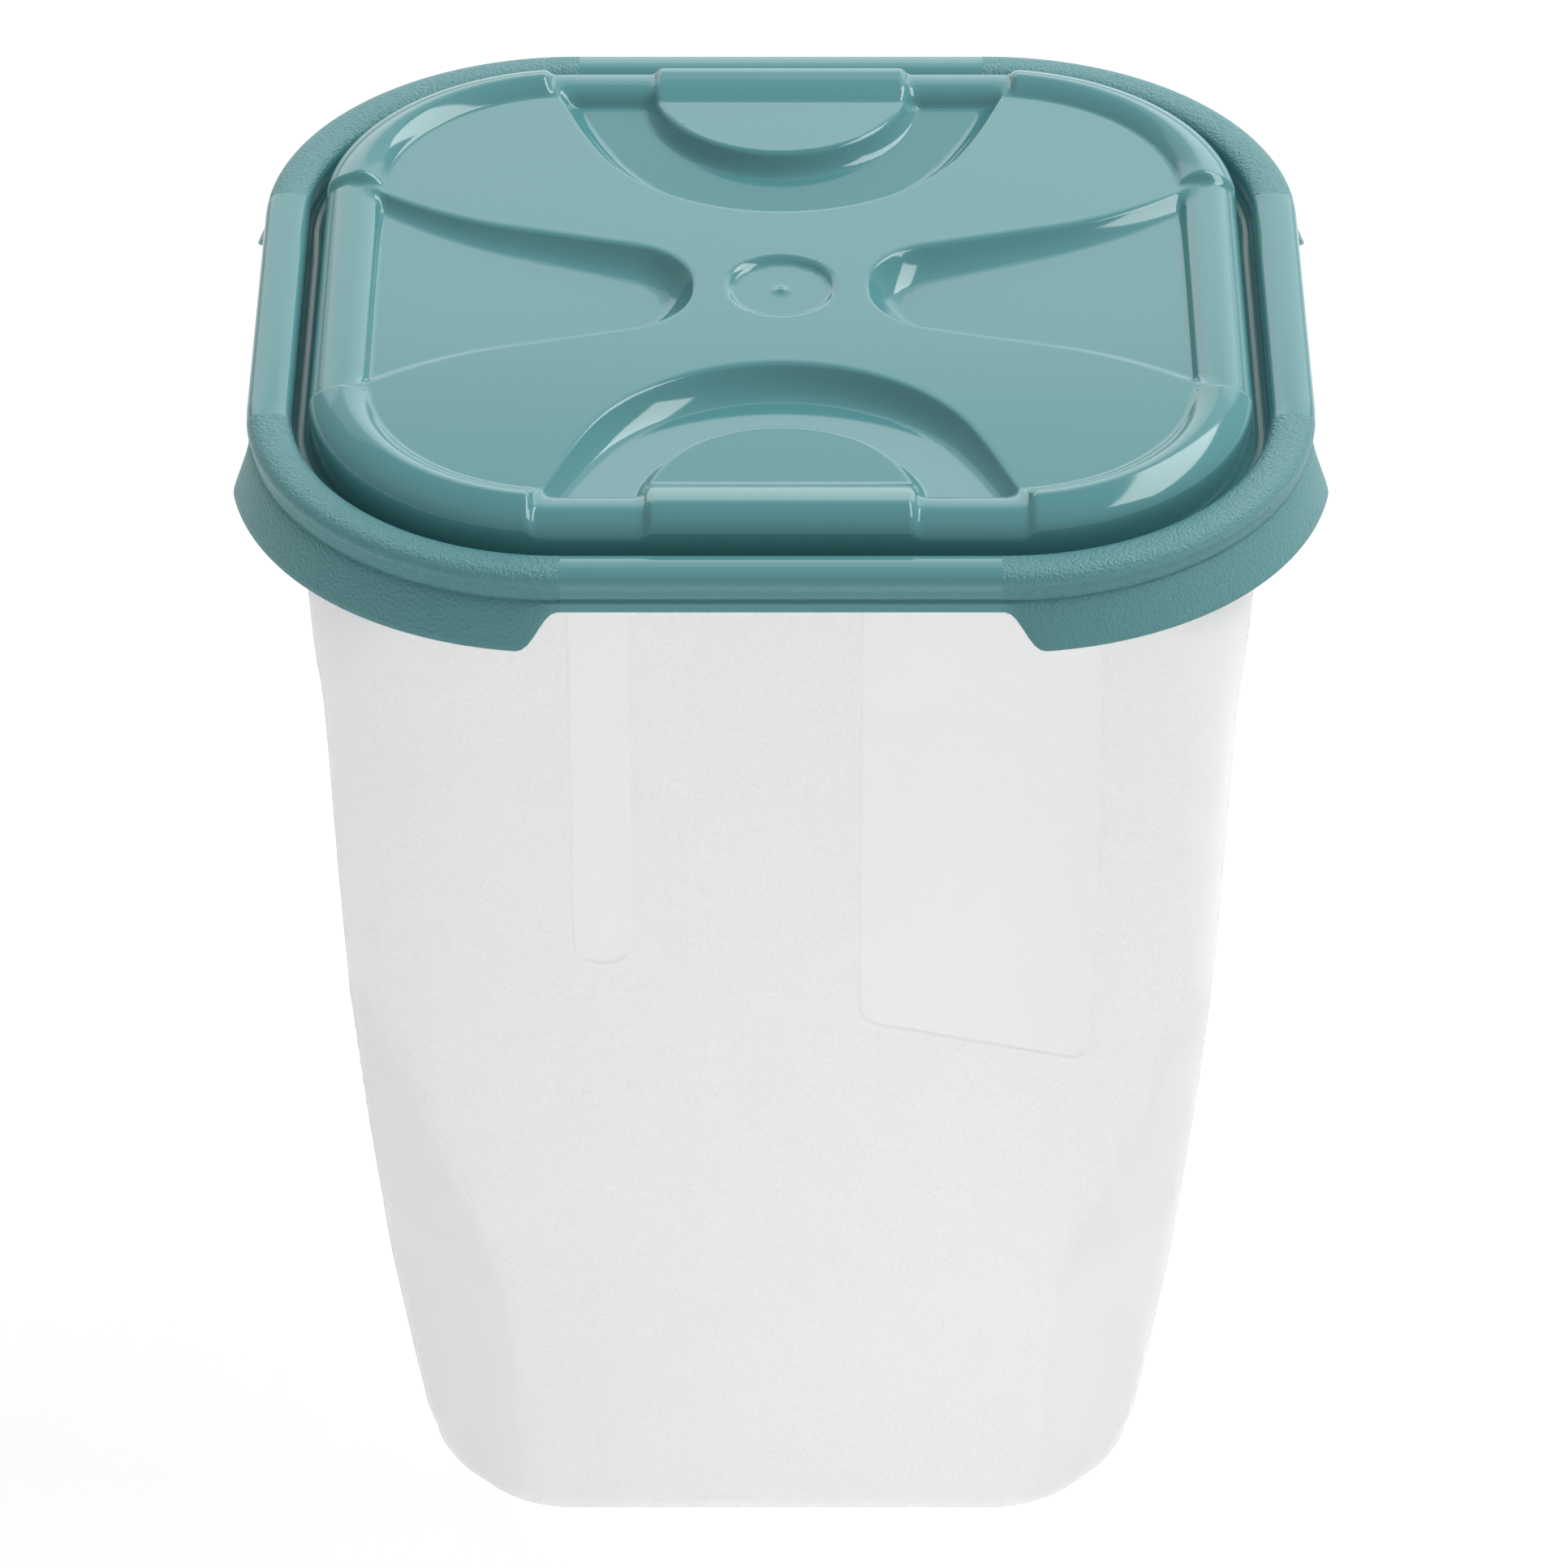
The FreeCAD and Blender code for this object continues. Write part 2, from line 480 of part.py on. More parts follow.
def build_lid():
    """Skirts, bead, channel, groove and embossed panel in one moulding."""
    body = DOCUMENT.addObject("PartDesign::Body", "lid")
    add_corner_skirts(body)
    add_bead_and_channel(body)
    add_panel(body)
    for name, turn in (("rear", 0), ("front", 180)):
        add_petal(body, f"{name}_petal", turn, "sizes.end_petal_start", END_ROUND, END_MOUTH,
                  "sizes.end_petal_mouth", "sizes.end_petal_depth", "sizes.end_border", PAD_ROUND)
    for name, turn in (("left", 90), ("right", 270)):
        add_petal(body, f"{name}_petal", turn, "sizes.side_petal_start", "sizes.side_petal_round", SIDE_MOUTH,
                  "sizes.side_petal_mouth", "sizes.side_petal_depth", "sizes.border_width")
    gate = new_sketch(body, "gate", "XY_Plane", at_level(PANEL_TOP))
    for diameter in ("sizes.gate_ring", "sizes.gate_disc"):
        draw_circle(gate, f"{diameter} / 2")
    extrude(body, "Pocket", "gate_cut", gate, "sizes.gate_depth", upwards=False)
    return body


def check_document(nodes):
    """Stops with a plain message if any object failed or any node is not one valid solid."""
    for item in DOCUMENT.Objects:
        if "Invalid" in item.State or "Error" in item.State:
            raise RuntimeError(f"{item.Name} failed: {item.State}")
    for node in nodes:
        if node.Shape.isNull() or not node.Shape.isValid() or len(node.Shape.Solids) != 1:
            raise RuntimeError(f"{node.Label} is not one valid solid")


NODES = [build_tub(), build_lid()]
DOCUMENT.recompute()
check_document(NODES)
os.makedirs("parts", exist_ok=True)
for node in NODES:
    node.Shape.exportStep(os.path.join("parts", f"{node.Label}.step"))
    box = node.Shape.BoundBox
    levels = f"from {box.ZMin:.1f} to {box.ZMax:.1f} mm above the base"
    print(f"{node.Label}: {node.Shape.Volume:.0f} mm3, {levels}")
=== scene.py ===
# %% [markdown]
# # A food container with a snap lid
# The real thing is two mouldings: a tall frosted tub and a teal lid that snaps over its rim. The packed
# model gives the frame: two bodies, at their real size and in their real place. This lesson dresses both
# bodies with finer meshes, gives them their plastics, and sets them on a pale studio floor. Shapes are
# worked out in millimetres, and become metres where a mesh is written.

# %% Load the frame
import math

import bpy
import numpy as np
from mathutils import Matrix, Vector


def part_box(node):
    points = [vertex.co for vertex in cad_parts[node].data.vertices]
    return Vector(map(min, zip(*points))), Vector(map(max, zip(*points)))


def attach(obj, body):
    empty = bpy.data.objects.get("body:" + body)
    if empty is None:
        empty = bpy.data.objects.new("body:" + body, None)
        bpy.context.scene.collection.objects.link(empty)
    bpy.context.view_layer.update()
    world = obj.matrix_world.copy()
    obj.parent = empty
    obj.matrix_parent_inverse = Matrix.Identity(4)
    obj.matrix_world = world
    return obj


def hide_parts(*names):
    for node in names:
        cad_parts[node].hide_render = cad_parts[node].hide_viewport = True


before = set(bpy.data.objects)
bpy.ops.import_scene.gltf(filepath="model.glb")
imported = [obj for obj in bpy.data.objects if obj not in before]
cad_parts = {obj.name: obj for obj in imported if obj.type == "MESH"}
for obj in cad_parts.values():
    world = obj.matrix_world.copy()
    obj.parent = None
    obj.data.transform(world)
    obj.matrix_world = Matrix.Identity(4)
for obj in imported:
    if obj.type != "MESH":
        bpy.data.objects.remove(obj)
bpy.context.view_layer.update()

MM = 0.001
tub_low, tub_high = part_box("tub")
print("the tub stands from", round(tub_low.z / MM, 1), "to", round(tub_high.z / MM, 1), "mm")

# %% [markdown]
# ## The camera
# The photograph was taken with a long lens from in front and above. The lens, the height and the distance
# were worked out from the way the lid's outline and its round gate mark are foreshortened, so the camera
# stands almost on the middle plane and looks down at a fixed angle, with no tilt to either side.

# %% Set up the camera
CAMERA_ASIDE, CAMERA_AHEAD, CAMERA_UP = 0.4 * MM, 921.1 * MM, 756.7 * MM
CAMERA_DEPRESSION = math.radians(35.66)
CAMERA_LENS, CAMERA_SIGHT = 187.5, 20

bpy.ops.object.select_all(action="DESELECT")
bpy.ops.object.camera_add(location=(CAMERA_ASIDE, -CAMERA_AHEAD, CAMERA_UP),
                          rotation=(math.pi / 2 - CAMERA_DEPRESSION, 0, 0))
camera = bpy.context.object
camera.name = "studio_camera"
camera.data.lens = CAMERA_LENS
camera.data.clip_end = CAMERA_SIGHT
bpy.context.scene.camera = camera
print("camera", round(CAMERA_AHEAD, 3), "m in front and", round(CAMERA_UP, 3), "m up")

# %% [markdown]
# ## The blank that both mouldings start from
# A tub and a lid are both thin closed shells, so both can start as the same blank: a flat grid, given a
# thickness with the Solidify modifier, whose edge is then cut into many hoops with Subdivide. The grid's
# upper side becomes one face of the shell, its lower side the other, and the hoops become everything
# between: walls, rim, bead and skirt. Lofting by hand would need a new outline for every hoop. Here each
# vertex keeps its place in the blank, and a formula for the real section says where that place goes.

# %% A plate with a hooped edge
PLATE_THICKNESS = 1


def hooped_plate(name, cells, hoops):
    """A square plate, 1 unit wide, of cells by cells faces above and below, with hoops round its edge."""
    bpy.ops.object.select_all(action="DESELECT")
    bpy.ops.mesh.primitive_grid_add(x_subdivisions=cells, y_subdivisions=cells, size=1, location=(0, 0, 0))
    piece = bpy.context.object
    piece.name = piece.data.name = name
    thickness = piece.modifiers.new("thickness", "SOLIDIFY")
    thickness.thickness = PLATE_THICKNESS
    bpy.ops.object.modifier_apply(modifier=thickness.name)
    bpy.ops.object.mode_set(mode="EDIT")
    bpy.ops.mesh.select_mode(type="EDGE")
    bpy.ops.mesh.select_all(action="DESELECT")
    bpy.ops.object.mode_set(mode="OBJECT")
    corners = piece.data.vertices
    for edge in piece.data.edges:
        first, second = edge.vertices
        edge.select = abs(corners[first].co.z - corners[second].co.z) > PLATE_THICKNESS / 2
    bpy.ops.object.mode_set(mode="EDIT")
    bpy.ops.mesh.subdivide(number_cuts=hoops - 2)
    bpy.ops.object.mode_set(mode="OBJECT")
    print(name, "starts as a plate with", hoops, "hoops")
    return piece


def blank_places(piece, hoops):
    """Where each vertex lies in its blank: across and along the grid, from 0 to 1, and its hoop's number."""
    places = np.empty(3 * len(piece.data.vertices))
    piece.data.vertices.foreach_get("co", places)
    across, along, height = places.reshape(-1, 3).T
    return across + 0.5, along + 0.5, np.rint(-height * (hoops - 1)).astype(int)


def set_places(piece, x, y, z):
    """Moves every vertex to its real place, given in millimetres, and shades the surface smooth."""
    piece.data.vertices.foreach_set("co", (np.stack([x, y, z], 1) * MM).ravel())
    piece.data.update()
    bpy.ops.object.mode_set(mode="EDIT")
    bpy.ops.mesh.select_all(action="SELECT")
    bpy.ops.mesh.normals_make_consistent(inside=False)
    bpy.ops.mesh.select_all(action="DESELECT")
    bpy.ops.object.mode_set(mode="OBJECT")
    bpy.ops.object.shade_smooth()
    print(piece.name, "has", len(piece.data.polygons), "faces")


# %% [markdown]
# ## Outlines
# Seen from above, the rim is a rounded rectangle, and the bead, the groove and the skirt are all at a
# fixed distance from it. So one function draws a rounded rectangle at any distance, with its points spread
# along the sides and round the corners. A second one fills the inside of an outline by blending its four
# sides, which carries the grid along.

# %% The rim's outline
RIM_HALF_X, RIM_HALF_Y, RIM_CORNER = 66.85, 62.05, 38.3
SPREAD_CORNER = 32.0


def corner_share(straight):
    """The part of a side's points that goes to each of its two half corners."""
    half_corner = SPREAD_CORNER * math.pi / 4
    return half_corner / (2 * half_corner + 2 * straight)


def rim_outline(turn, offset):
    """Points at a distance outside the rim, from a turn of 0 to 4, with a corner at each whole number."""
    side = np.floor(turn).astype(int) % 4
    along = turn - np.floor(turn)
    straight_x, straight_y = RIM_HALF_X - RIM_CORNER, RIM_HALF_Y - RIM_CORNER
    facing_y = side % 2 == 0
    straight = np.where(facing_y, straight_x, straight_y)
    reach = np.where(facing_y, straight_y, straight_x)
    share = np.where(facing_y, corner_share(straight_x), corner_share(straight_y))
    angle = (np.minimum(along - share, 0) + np.maximum(along - 1 + share, 0)) / share * math.pi / 4
    middle = np.clip((along - share) / (1 - 2 * share), 0, 1) * 2 - 1
    radius = RIM_CORNER + offset
    right = middle * straight + radius * np.sin(angle)
    ahead = reach + radius * np.cos(angle)
    turned = side * math.pi / 2
    return (right * np.cos(turned) + ahead * np.sin(turned),
            right * np.sin(turned) - ahead * np.cos(turned))


print("the rim is", 2 * RIM_HALF_X, "by", 2 * RIM_HALF_Y, "mm")

# %% The inside of an outline
SIDE_END, ON_EDGE = 0.999999, 1e-6


def filled(outline, across, along):
    """Carries the grid's places into an outline by blending its four sides."""
    front_x, front_y = outline(np.clip(across, 0, SIDE_END))
    right_x, right_y = outline(1 + np.clip(along, 0, SIDE_END))
    rear_x, rear_y = outline(2 + np.clip(1 - across, 0, SIDE_END))
    left_x, left_y = outline(3 + np.clip(1 - along, 0, SIDE_END))
    corner_x, corner_y = outline(np.arange(4.0))
    blended = []
    for front, right, rear, left, corner in ((front_x, right_x, rear_x, left_x, corner_x),
                                             (front_y, right_y, rear_y, left_y, corner_y)):
        ruled = (1 - along) * front + along * rear + (1 - across) * left + across * right
        corners = ((1 - across) * (1 - along) * corner[0] + across * (1 - along) * corner[1]
                   + across * along * corner[2] + (1 - across) * along * corner[3])
        blended.append(ruled - corners)
    return blended


def turn_of(across, along):
    """How far round the blank's edge a place lies, from 0 to 4."""
    sides = [along < ON_EDGE, across > 1 - ON_EDGE, along > 1 - ON_EDGE, across < ON_EDGE]
    turns = [across, 1 + along, 3 - across, 4 - along]
    return np.select(sides, turns, 0.0) % 4


rim_middle = filled(lambda turn: rim_outline(turn, 0.0), 0.5, 0.5)
print("the middle of the filled rim lies at", [abs(round(float(part), 3)) for part in rim_middle])

# %% [markdown]
# ## The lid's relief
# The middle of the lid is a raised panel with a roll round its border. Four petals are pressed into it,
# which leaves an X-shaped flat, and the front and rear petals hold a half-round pad each. Modelling every
# wall by hand with Inset and Bevel would be slow to adjust. All of it can be told as one height for each
# place on the panel, as an engraver would cut it. Heights are above the crest of the bead.

# %% Levels and walls of the relief
PANEL_OFFSET = -5.1
PANEL_LEVEL, CORNER_ROLL, PETAL_ROLL, PAD_ROLL = 2.4, 4.0, 2.7, 3.7
ROLL_REACH, CORNER_REACH, ROLL_DROP, ROLL_CREST = 3.0, 4.3, 3.1, 0.28
ROLL_SLOPE, PAD_SLOPE, ROLL_FULLNESS, PETAL_FULLNESS = 4.8, 6.5, 1.8, 4.5
EDGE_SOFTNESS = 0.13


def step(value, start, width):
    """0 below a place and 1 past it, with a rise between that starts and ends flat."""
    share = np.clip((value - start) / width, 0, 1)
    return share * share * share * (share * (share * 6 - 15) + 10)


def wall(share):
    """A moulded wall from 0 at its upper edge to 1 at its foot: a tight edge, then a wide hollow fillet."""
    share = np.clip(share, 0, 1)
    edge = share * share / EDGE_SOFTNESS
    return np.where(share < EDGE_SOFTNESS, edge, 1 - (1 - share) ** 2 / (1 - EDGE_SOFTNESS))


print("halfway down, a wall has", round(float(wall(0.5)), 2), "of its depth")

# %% Where the petals, pads and gate have their edges
SIDE_TIP, SIDE_ROUND, SIDE_LEAN, SIDE_FLARE, SIDE_FLARE_START = 11.2, 10.8, 0.265, 0.0125, 36.0
END_TIP, END_ROUND, END_FLARE, END_FLARE_START = 18.7, 28.0, 0.014, 35.0
PAD_CENTRE, PAD_ROUND, GATE_RADIUS = 51.3, 17.1, 7.4


def side_edge(x, y):
    """How far a place lies inside the left or right petal."""
    x, y = np.abs(x), np.abs(y)
    centre = SIDE_TIP + SIDE_ROUND
    slant = math.hypot(1, SIDE_LEAN)
    leaves_round = centre - SIDE_ROUND * SIDE_LEAN / slant
    half = SIDE_ROUND / slant + SIDE_LEAN * (x - leaves_round)
    half = half + SIDE_FLARE * np.maximum(x - SIDE_FLARE_START, 0) ** 2
    return np.where(x < leaves_round, SIDE_ROUND - np.hypot(x - centre, y), (half - y) / slant)


def end_edge(x, y):
    """How far a place lies inside the front or rear petal."""
    x, y = np.abs(x), np.abs(y)
    flare = END_FLARE * np.maximum(y - END_FLARE_START, 0) ** 2
    return END_ROUND + flare - np.hypot(x, np.minimum(y - END_TIP - END_ROUND, 0))


def pad_edge(x, y):
    """How far a place lies outside the half-round pads."""
    return np.hypot(x, np.minimum(np.abs(y) - PAD_CENTRE, 0)) - PAD_ROUND


def gate_edge(x, y):
    """How far a place lies inside the round gate mark."""
    return GATE_RADIUS - np.hypot(x, y)


print("the petals' tips lie", SIDE_TIP, "and", END_TIP, "mm from the middle")

# %% How deep they are
SIDE_DEPTH, SIDE_MOUTH_DEPTH, SIDE_MOUTH = 3.6, 1.5, 54.0
END_DEPTH, END_MOUTH_DEPTH, END_MOUTH = 4.0, 1.9, 50.0
TIP_RUN, MOUTH_RUN, PAD_RUN = 5.0, 3.2, 2.4
GATE_RUN, GATE_DEPTH, NUB_HEIGHT, NUB_RADIUS = 1.2, 0.8, 0.35, 0.7


def petal_depth(inside, outward, depth, mouth_depth):
    """A petal's depth, which falls off from its tip to its mouth as its wall gets steeper."""
    outward = np.clip(outward, 0, 1)
    run = TIP_RUN + (MOUTH_RUN - TIP_RUN) * outward
    return (depth + (mouth_depth - depth) * outward) * wall(inside / run)


def sunk(x, y):
    """How far a place lies below the panel."""
    side_outward = (np.abs(x) - SIDE_TIP) / (SIDE_MOUTH - SIDE_TIP)
    end_outward = (np.abs(y) - END_TIP) / (END_MOUTH - END_TIP)
    side = petal_depth(side_edge(x, y), side_outward, SIDE_DEPTH, SIDE_MOUTH_DEPTH)
    end = petal_depth(end_edge(x, y), end_outward, END_DEPTH, END_MOUTH_DEPTH)
    end = end * wall(pad_edge(x, y) / PAD_RUN)
    nub = NUB_HEIGHT * np.exp(-(np.hypot(x, y) / NUB_RADIUS) ** 2)
    return side + end + GATE_DEPTH * wall(gate_edge(x, y) / GATE_RUN) - nub


print("a side petal is", round(float(sunk(SIDE_TIP + SIDE_ROUND, 0.0)), 2), "mm deep behind its tip")

# %% The border roll and the whole relief
CORNER_X, CORNER_Y, PAD_END, STEP_RUN = 31.1, 25.1, 18.0, 1.7


def rim_distance(x, y):
    """How far a place lies outside the rim's outline, seen from above."""
    over_x = np.abs(x) - RIM_HALF_X + RIM_CORNER
    over_y = np.abs(y) - RIM_HALF_Y + RIM_CORNER
    past_corner = np.hypot(np.maximum(over_x, 0), np.maximum(over_y, 0))
    return past_corner + np.minimum(np.maximum(over_x, over_y), 0) - RIM_CORNER


def relief(x, y):
    """The panel's height above the bead's crest at any place."""
    floor = PANEL_LEVEL - sunk(x, y)
    at_ends = step(np.abs(y), CORNER_Y, STEP_RUN)
    corner = step(np.abs(x), CORNER_X, STEP_RUN) * at_ends
    pad = step(-np.abs(x), -PAD_END, STEP_RUN) * at_ends
    roll = PETAL_ROLL + (CORNER_ROLL - PETAL_ROLL) * corner + (PAD_ROLL - PETAL_ROLL) * pad
    crown = ROLL_REACH + (CORNER_REACH - ROLL_REACH) * corner
    crease = ROLL_REACH + ROLL_SLOPE + (PAD_SLOPE - ROLL_SLOPE) * pad
    inside = PANEL_OFFSET - rim_distance(x, y)
    lean = np.clip((inside - crown) / (crease - crown), 0, 1)
    fullness = PETAL_FULLNESS + (ROLL_FULLNESS - PETAL_FULLNESS) * (corner + pad)
    inner = floor + (roll - floor) * (1 - lean ** fullness)
    short = np.clip(1 - inside / crown, 0, 1)
    rounding = ROLL_CREST * short + (1 - ROLL_CREST) * (1 - np.sqrt(1 - short ** 2))
    outer = roll - ROLL_DROP * rounding
    return np.where(inside < crown, outer, inner)


print("the gate's nub lies", round(float(relief(0.0, 0.0)), 2), "mm above the bead")

# %% [markdown]
# ## Rows along the edges
# The walls of the petals are a few millimetres wide and curve across the panel, so a plain square grid
# would cut their crests into steps. A much finer grid would hide that, but with far too many faces.
# Instead, the places near an edge are slid into rows along it: one on the crest itself and the others
# beside it, as far apart as the grid's own lines are there. Nearly every line of the grid then has one
# vertex in each row.

# %% Edges that come out clean
LID_CELLS, NUDGE, LEAST_SPACING, LEAST_SLOPE, ROWS_OUTSIDE = 192, 0.01, 0.1, 0.5, 1.5
GRID_DEPTH = ROLL_REACH + PAD_SLOPE


def panel_places(across, along):
    """Where the panel's grid lies, seen from above."""
    return filled(lambda turn: rim_outline(turn, PANEL_OFFSET - GRID_DEPTH), across, along)


def cell_steps(edge, across, along):
    """How much farther inside an edge a place gets over one cell of the grid, across it and along it."""
    half = 0.5 / LID_CELLS
    return [edge(*panel_places(across + right, along + ahead))
            - edge(*panel_places(across - right, along - ahead)) for right, ahead in ((half, 0), (0, half))]


def in_rows(across, along):
    """The panel's places, with those near an edge of the relief moved into rows along it.

    The rows are as far apart as the grid's lines are, halfway to the edge, so that all lines agree."""
    x, y = panel_places(across, along)
    edges = ((side_edge, TIP_RUN), (end_edge, TIP_RUN), (pad_edge, PAD_RUN), (gate_edge, GATE_RUN))
    for edge, run in edges:
        away = edge(x, y)
        right, ahead = cell_steps(edge, across, along)
        near = (away > -ROWS_OUTSIDE * np.maximum(np.abs(right), np.abs(ahead))) & (away < run)
        sideways = np.abs(right) > np.abs(ahead)
        back = np.where(near, away / np.where(sideways, right, ahead), 0) / 2 / LID_CELLS
        halfway = cell_steps(edge, across - np.where(sideways, back, 0), along - np.where(sideways, 0, back))
        spacing = np.maximum(np.maximum(*np.abs(halfway)), LEAST_SPACING)
        slope_x = (edge(x + NUDGE, y) - away) / NUDGE
        slope_y = (edge(x, y + NUDGE) - away) / NUDGE
        shift = np.where(near, away - spacing * np.rint(away / spacing), 0)
        shift = shift / np.maximum(slope_x ** 2 + slope_y ** 2, LEAST_SLOPE)
        x, y = x - slope_x * shift, y - slope_y * shift
    return x, y


panel_half = RIM_HALF_X + PANEL_OFFSET - GRID_DEPTH
print("the grid's lines are about", round(2 * panel_half / LID_CELLS, 2), "mm apart")

# %% [markdown]
# ## The lid's rim
# From the panel's edge the section goes down into a narrow groove, over the round bead that grips the tub,
# down the skirt, and back inside. At the four corners the skirt hangs lower and flares, so that a finger
# can lift it. A swept profile would be the same all the way round, so the section is told hoop by hoop
# instead, as a distance outside the tub's rim and a height, both of which may change on the way round. The
# inside keeps clear of the tub's rim and its snap lip.

# %% The lid's section, outside
WALL = 1.2
PANEL_WALL_LEVELS = (-0.6, -2.4)
GROOVE_LEVEL, GROOVE_FILLET, FILLET_STEPS = -4.8, 1.0, 4
BEAD_INNER, BEAD_OUTER, BEAD_DOME, BEAD_SQUARENESS, BEAD_STEPS = -2.8, 3.1, 1.9, 2.6, 17
BAND_OFFSET, BAND_TOP, BAND_STEPS = 2.65, -2.4, 4
VALLEY_LEVEL, VALLEY_DEPTH, VALLEY_RUN = -4.2, 0.25, 0.15


def arc(centre, radius, start, end, count):
    """Points of a section along an arc, its angles in degrees from outwards to upwards."""
    angles = np.radians(np.linspace(start, end, count))
    return [(centre[0] + radius * math.cos(angle), centre[1] + radius * math.sin(angle)) for angle in angles]


def bead_section():
    """The bead's domed top from its inner to its outer face, squarer than a circle."""
    middle, half = (BEAD_INNER + BEAD_OUTER) / 2, (BEAD_OUTER - BEAD_INNER) / 2
    power = 2 / BEAD_SQUARENESS
    points = []
    for angle in np.linspace(math.pi, 0, BEAD_STEPS):
        side = math.copysign(abs(math.cos(angle)) ** power, math.cos(angle))
        points.append((middle + half * side, BEAD_DOME * (abs(math.sin(angle)) ** power - 1)))
    return points


def lid_outside():
    """The section from the panel's edge through the groove and over the bead, down to the skirt."""
    fillet_level = GROOVE_LEVEL + GROOVE_FILLET
    fillet_turn = 90 / FILLET_STEPS
    inner_centre = (PANEL_OFFSET + GROOVE_FILLET, fillet_level)
    outer_centre = (BEAD_INNER - GROOVE_FILLET, fillet_level)
    points = [(PANEL_OFFSET, level) for level in (*PANEL_WALL_LEVELS, fillet_level)]
    points += arc(inner_centre, GROOVE_FILLET, 180 + fillet_turn, 270, FILLET_STEPS)
    points += arc(outer_centre, GROOVE_FILLET, 270, 360 - fillet_turn, FILLET_STEPS)
    points += [(BEAD_INNER, fillet_level), *bead_section()]
    band_levels = np.linspace(BAND_TOP, VALLEY_LEVEL + VALLEY_RUN, BAND_STEPS)
    points += [(BAND_OFFSET, level) for level in band_levels]
    valley = BAND_OFFSET - VALLEY_DEPTH
    return points + [(valley, VALLEY_LEVEL), (valley, VALLEY_LEVEL - VALLEY_RUN)]


print("the lid's section has", len(lid_outside()), "points from the panel to the skirt")

# %% The lid's section, inside
SKIRT_FOOT, CORNER_FOOT, EDGE_ROUND, LIP_STEP = -6.0, -10.5, 0.35, 0.25
CHANNEL_INNER, CHANNEL_OUTER, CHANNEL_ROOF, CHANNEL_BEVEL = -1.6, 1.9, -1.2, 0.5
RIDGE_FACE, RIDGE_FOOT, RIDGE_TOP, RIDGE_RAMP = 1.2, 0.25, 0.7, 1.3
GROOVE_BEVEL, PANEL_UNDERSIDE = 0.3, -2.5


def lid_inside():
    """The section from the snap ridge up through the channel for the rim, and under the groove."""
    groove_under = GROOVE_LEVEL - WALL
    panel_inner = PANEL_OFFSET - WALL
    return [(RIDGE_FACE, SKIRT_FOOT + RIDGE_FOOT), (RIDGE_FACE, SKIRT_FOOT + RIDGE_TOP),
            (CHANNEL_OUTER, SKIRT_FOOT + RIDGE_RAMP), (CHANNEL_OUTER, CHANNEL_ROOF - CHANNEL_BEVEL),
            (CHANNEL_OUTER - CHANNEL_BEVEL, CHANNEL_ROOF), (CHANNEL_INNER + CHANNEL_BEVEL, CHANNEL_ROOF),
            (CHANNEL_INNER, CHANNEL_ROOF - CHANNEL_BEVEL), (CHANNEL_INNER, groove_under + GROOVE_BEVEL),
            (CHANNEL_INNER - GROOVE_BEVEL, groove_under), (panel_inner + GROOVE_BEVEL, groove_under),
            (panel_inner, groove_under + GROOVE_BEVEL), (panel_inner, PANEL_UNDERSIDE)]


print("and", len(lid_inside()), "points inside")

# %% All hoops of the lid
PAD_STEPS, SLOPE_STEPS, CROWN_STEPS, UNDER_STEPS = 4, 10, 9, 7
CREASE_BUNCHING = 1.7
SKIRT_SHARES = (0, 0.08, 0.2, 0.35, 0.5, 0.65, 0.8, 0.9, 1)
EDGE_SHARES, LINING_SHARES = (0.2, 0.5, 0.8), (0, 0.5, 1)


def lid_hoops():
    """The lid's hoops from the grid out, over the rim and in again, as a kind and two numbers.

    The numbers are an offset and a height for a plain hoop, and else a depth or share and 0."""
    crease = ROLL_REACH + ROLL_SLOPE
    bunched = np.linspace(0, 1, SLOPE_STEPS)[:-1] ** CREASE_BUNCHING
    depths = [*np.linspace(GRID_DEPTH, crease, PAD_STEPS)[:-1], *(crease - ROLL_SLOPE * bunched)]
    depths += [ROLL_REACH * (1 - math.cos(angle)) for angle in np.linspace(math.pi / 2, 0, CROWN_STEPS)]
    hoops = [("relief", depth, 0) for depth in depths]
    hoops += [("plain", *point) for point in lid_outside()]
    hoops += [("skirt", share, 0) for share in SKIRT_SHARES]
    hoops += [("edge", share, 0) for share in EDGE_SHARES]
    hoops += [("lining", share, 0) for share in LINING_SHARES]
    hoops += [("plain", *point) for point in lid_inside()]
    hoops += [("under", depth, 0) for depth in np.linspace(WALL, GRID_DEPTH, UNDER_STEPS)]
    return hoops


print("the lid has", len(lid_hoops()), "hoops")

# %% Place one hoop of the lid
SKIRT_GAP_X, SKIRT_GAP_Y, SKIRT_GAP_RUN = 28.2, 25.4, 5.2
CORNER_FLARE, FLARE_POWER, LINING_STEP = 2.75, 0.8, 0.1


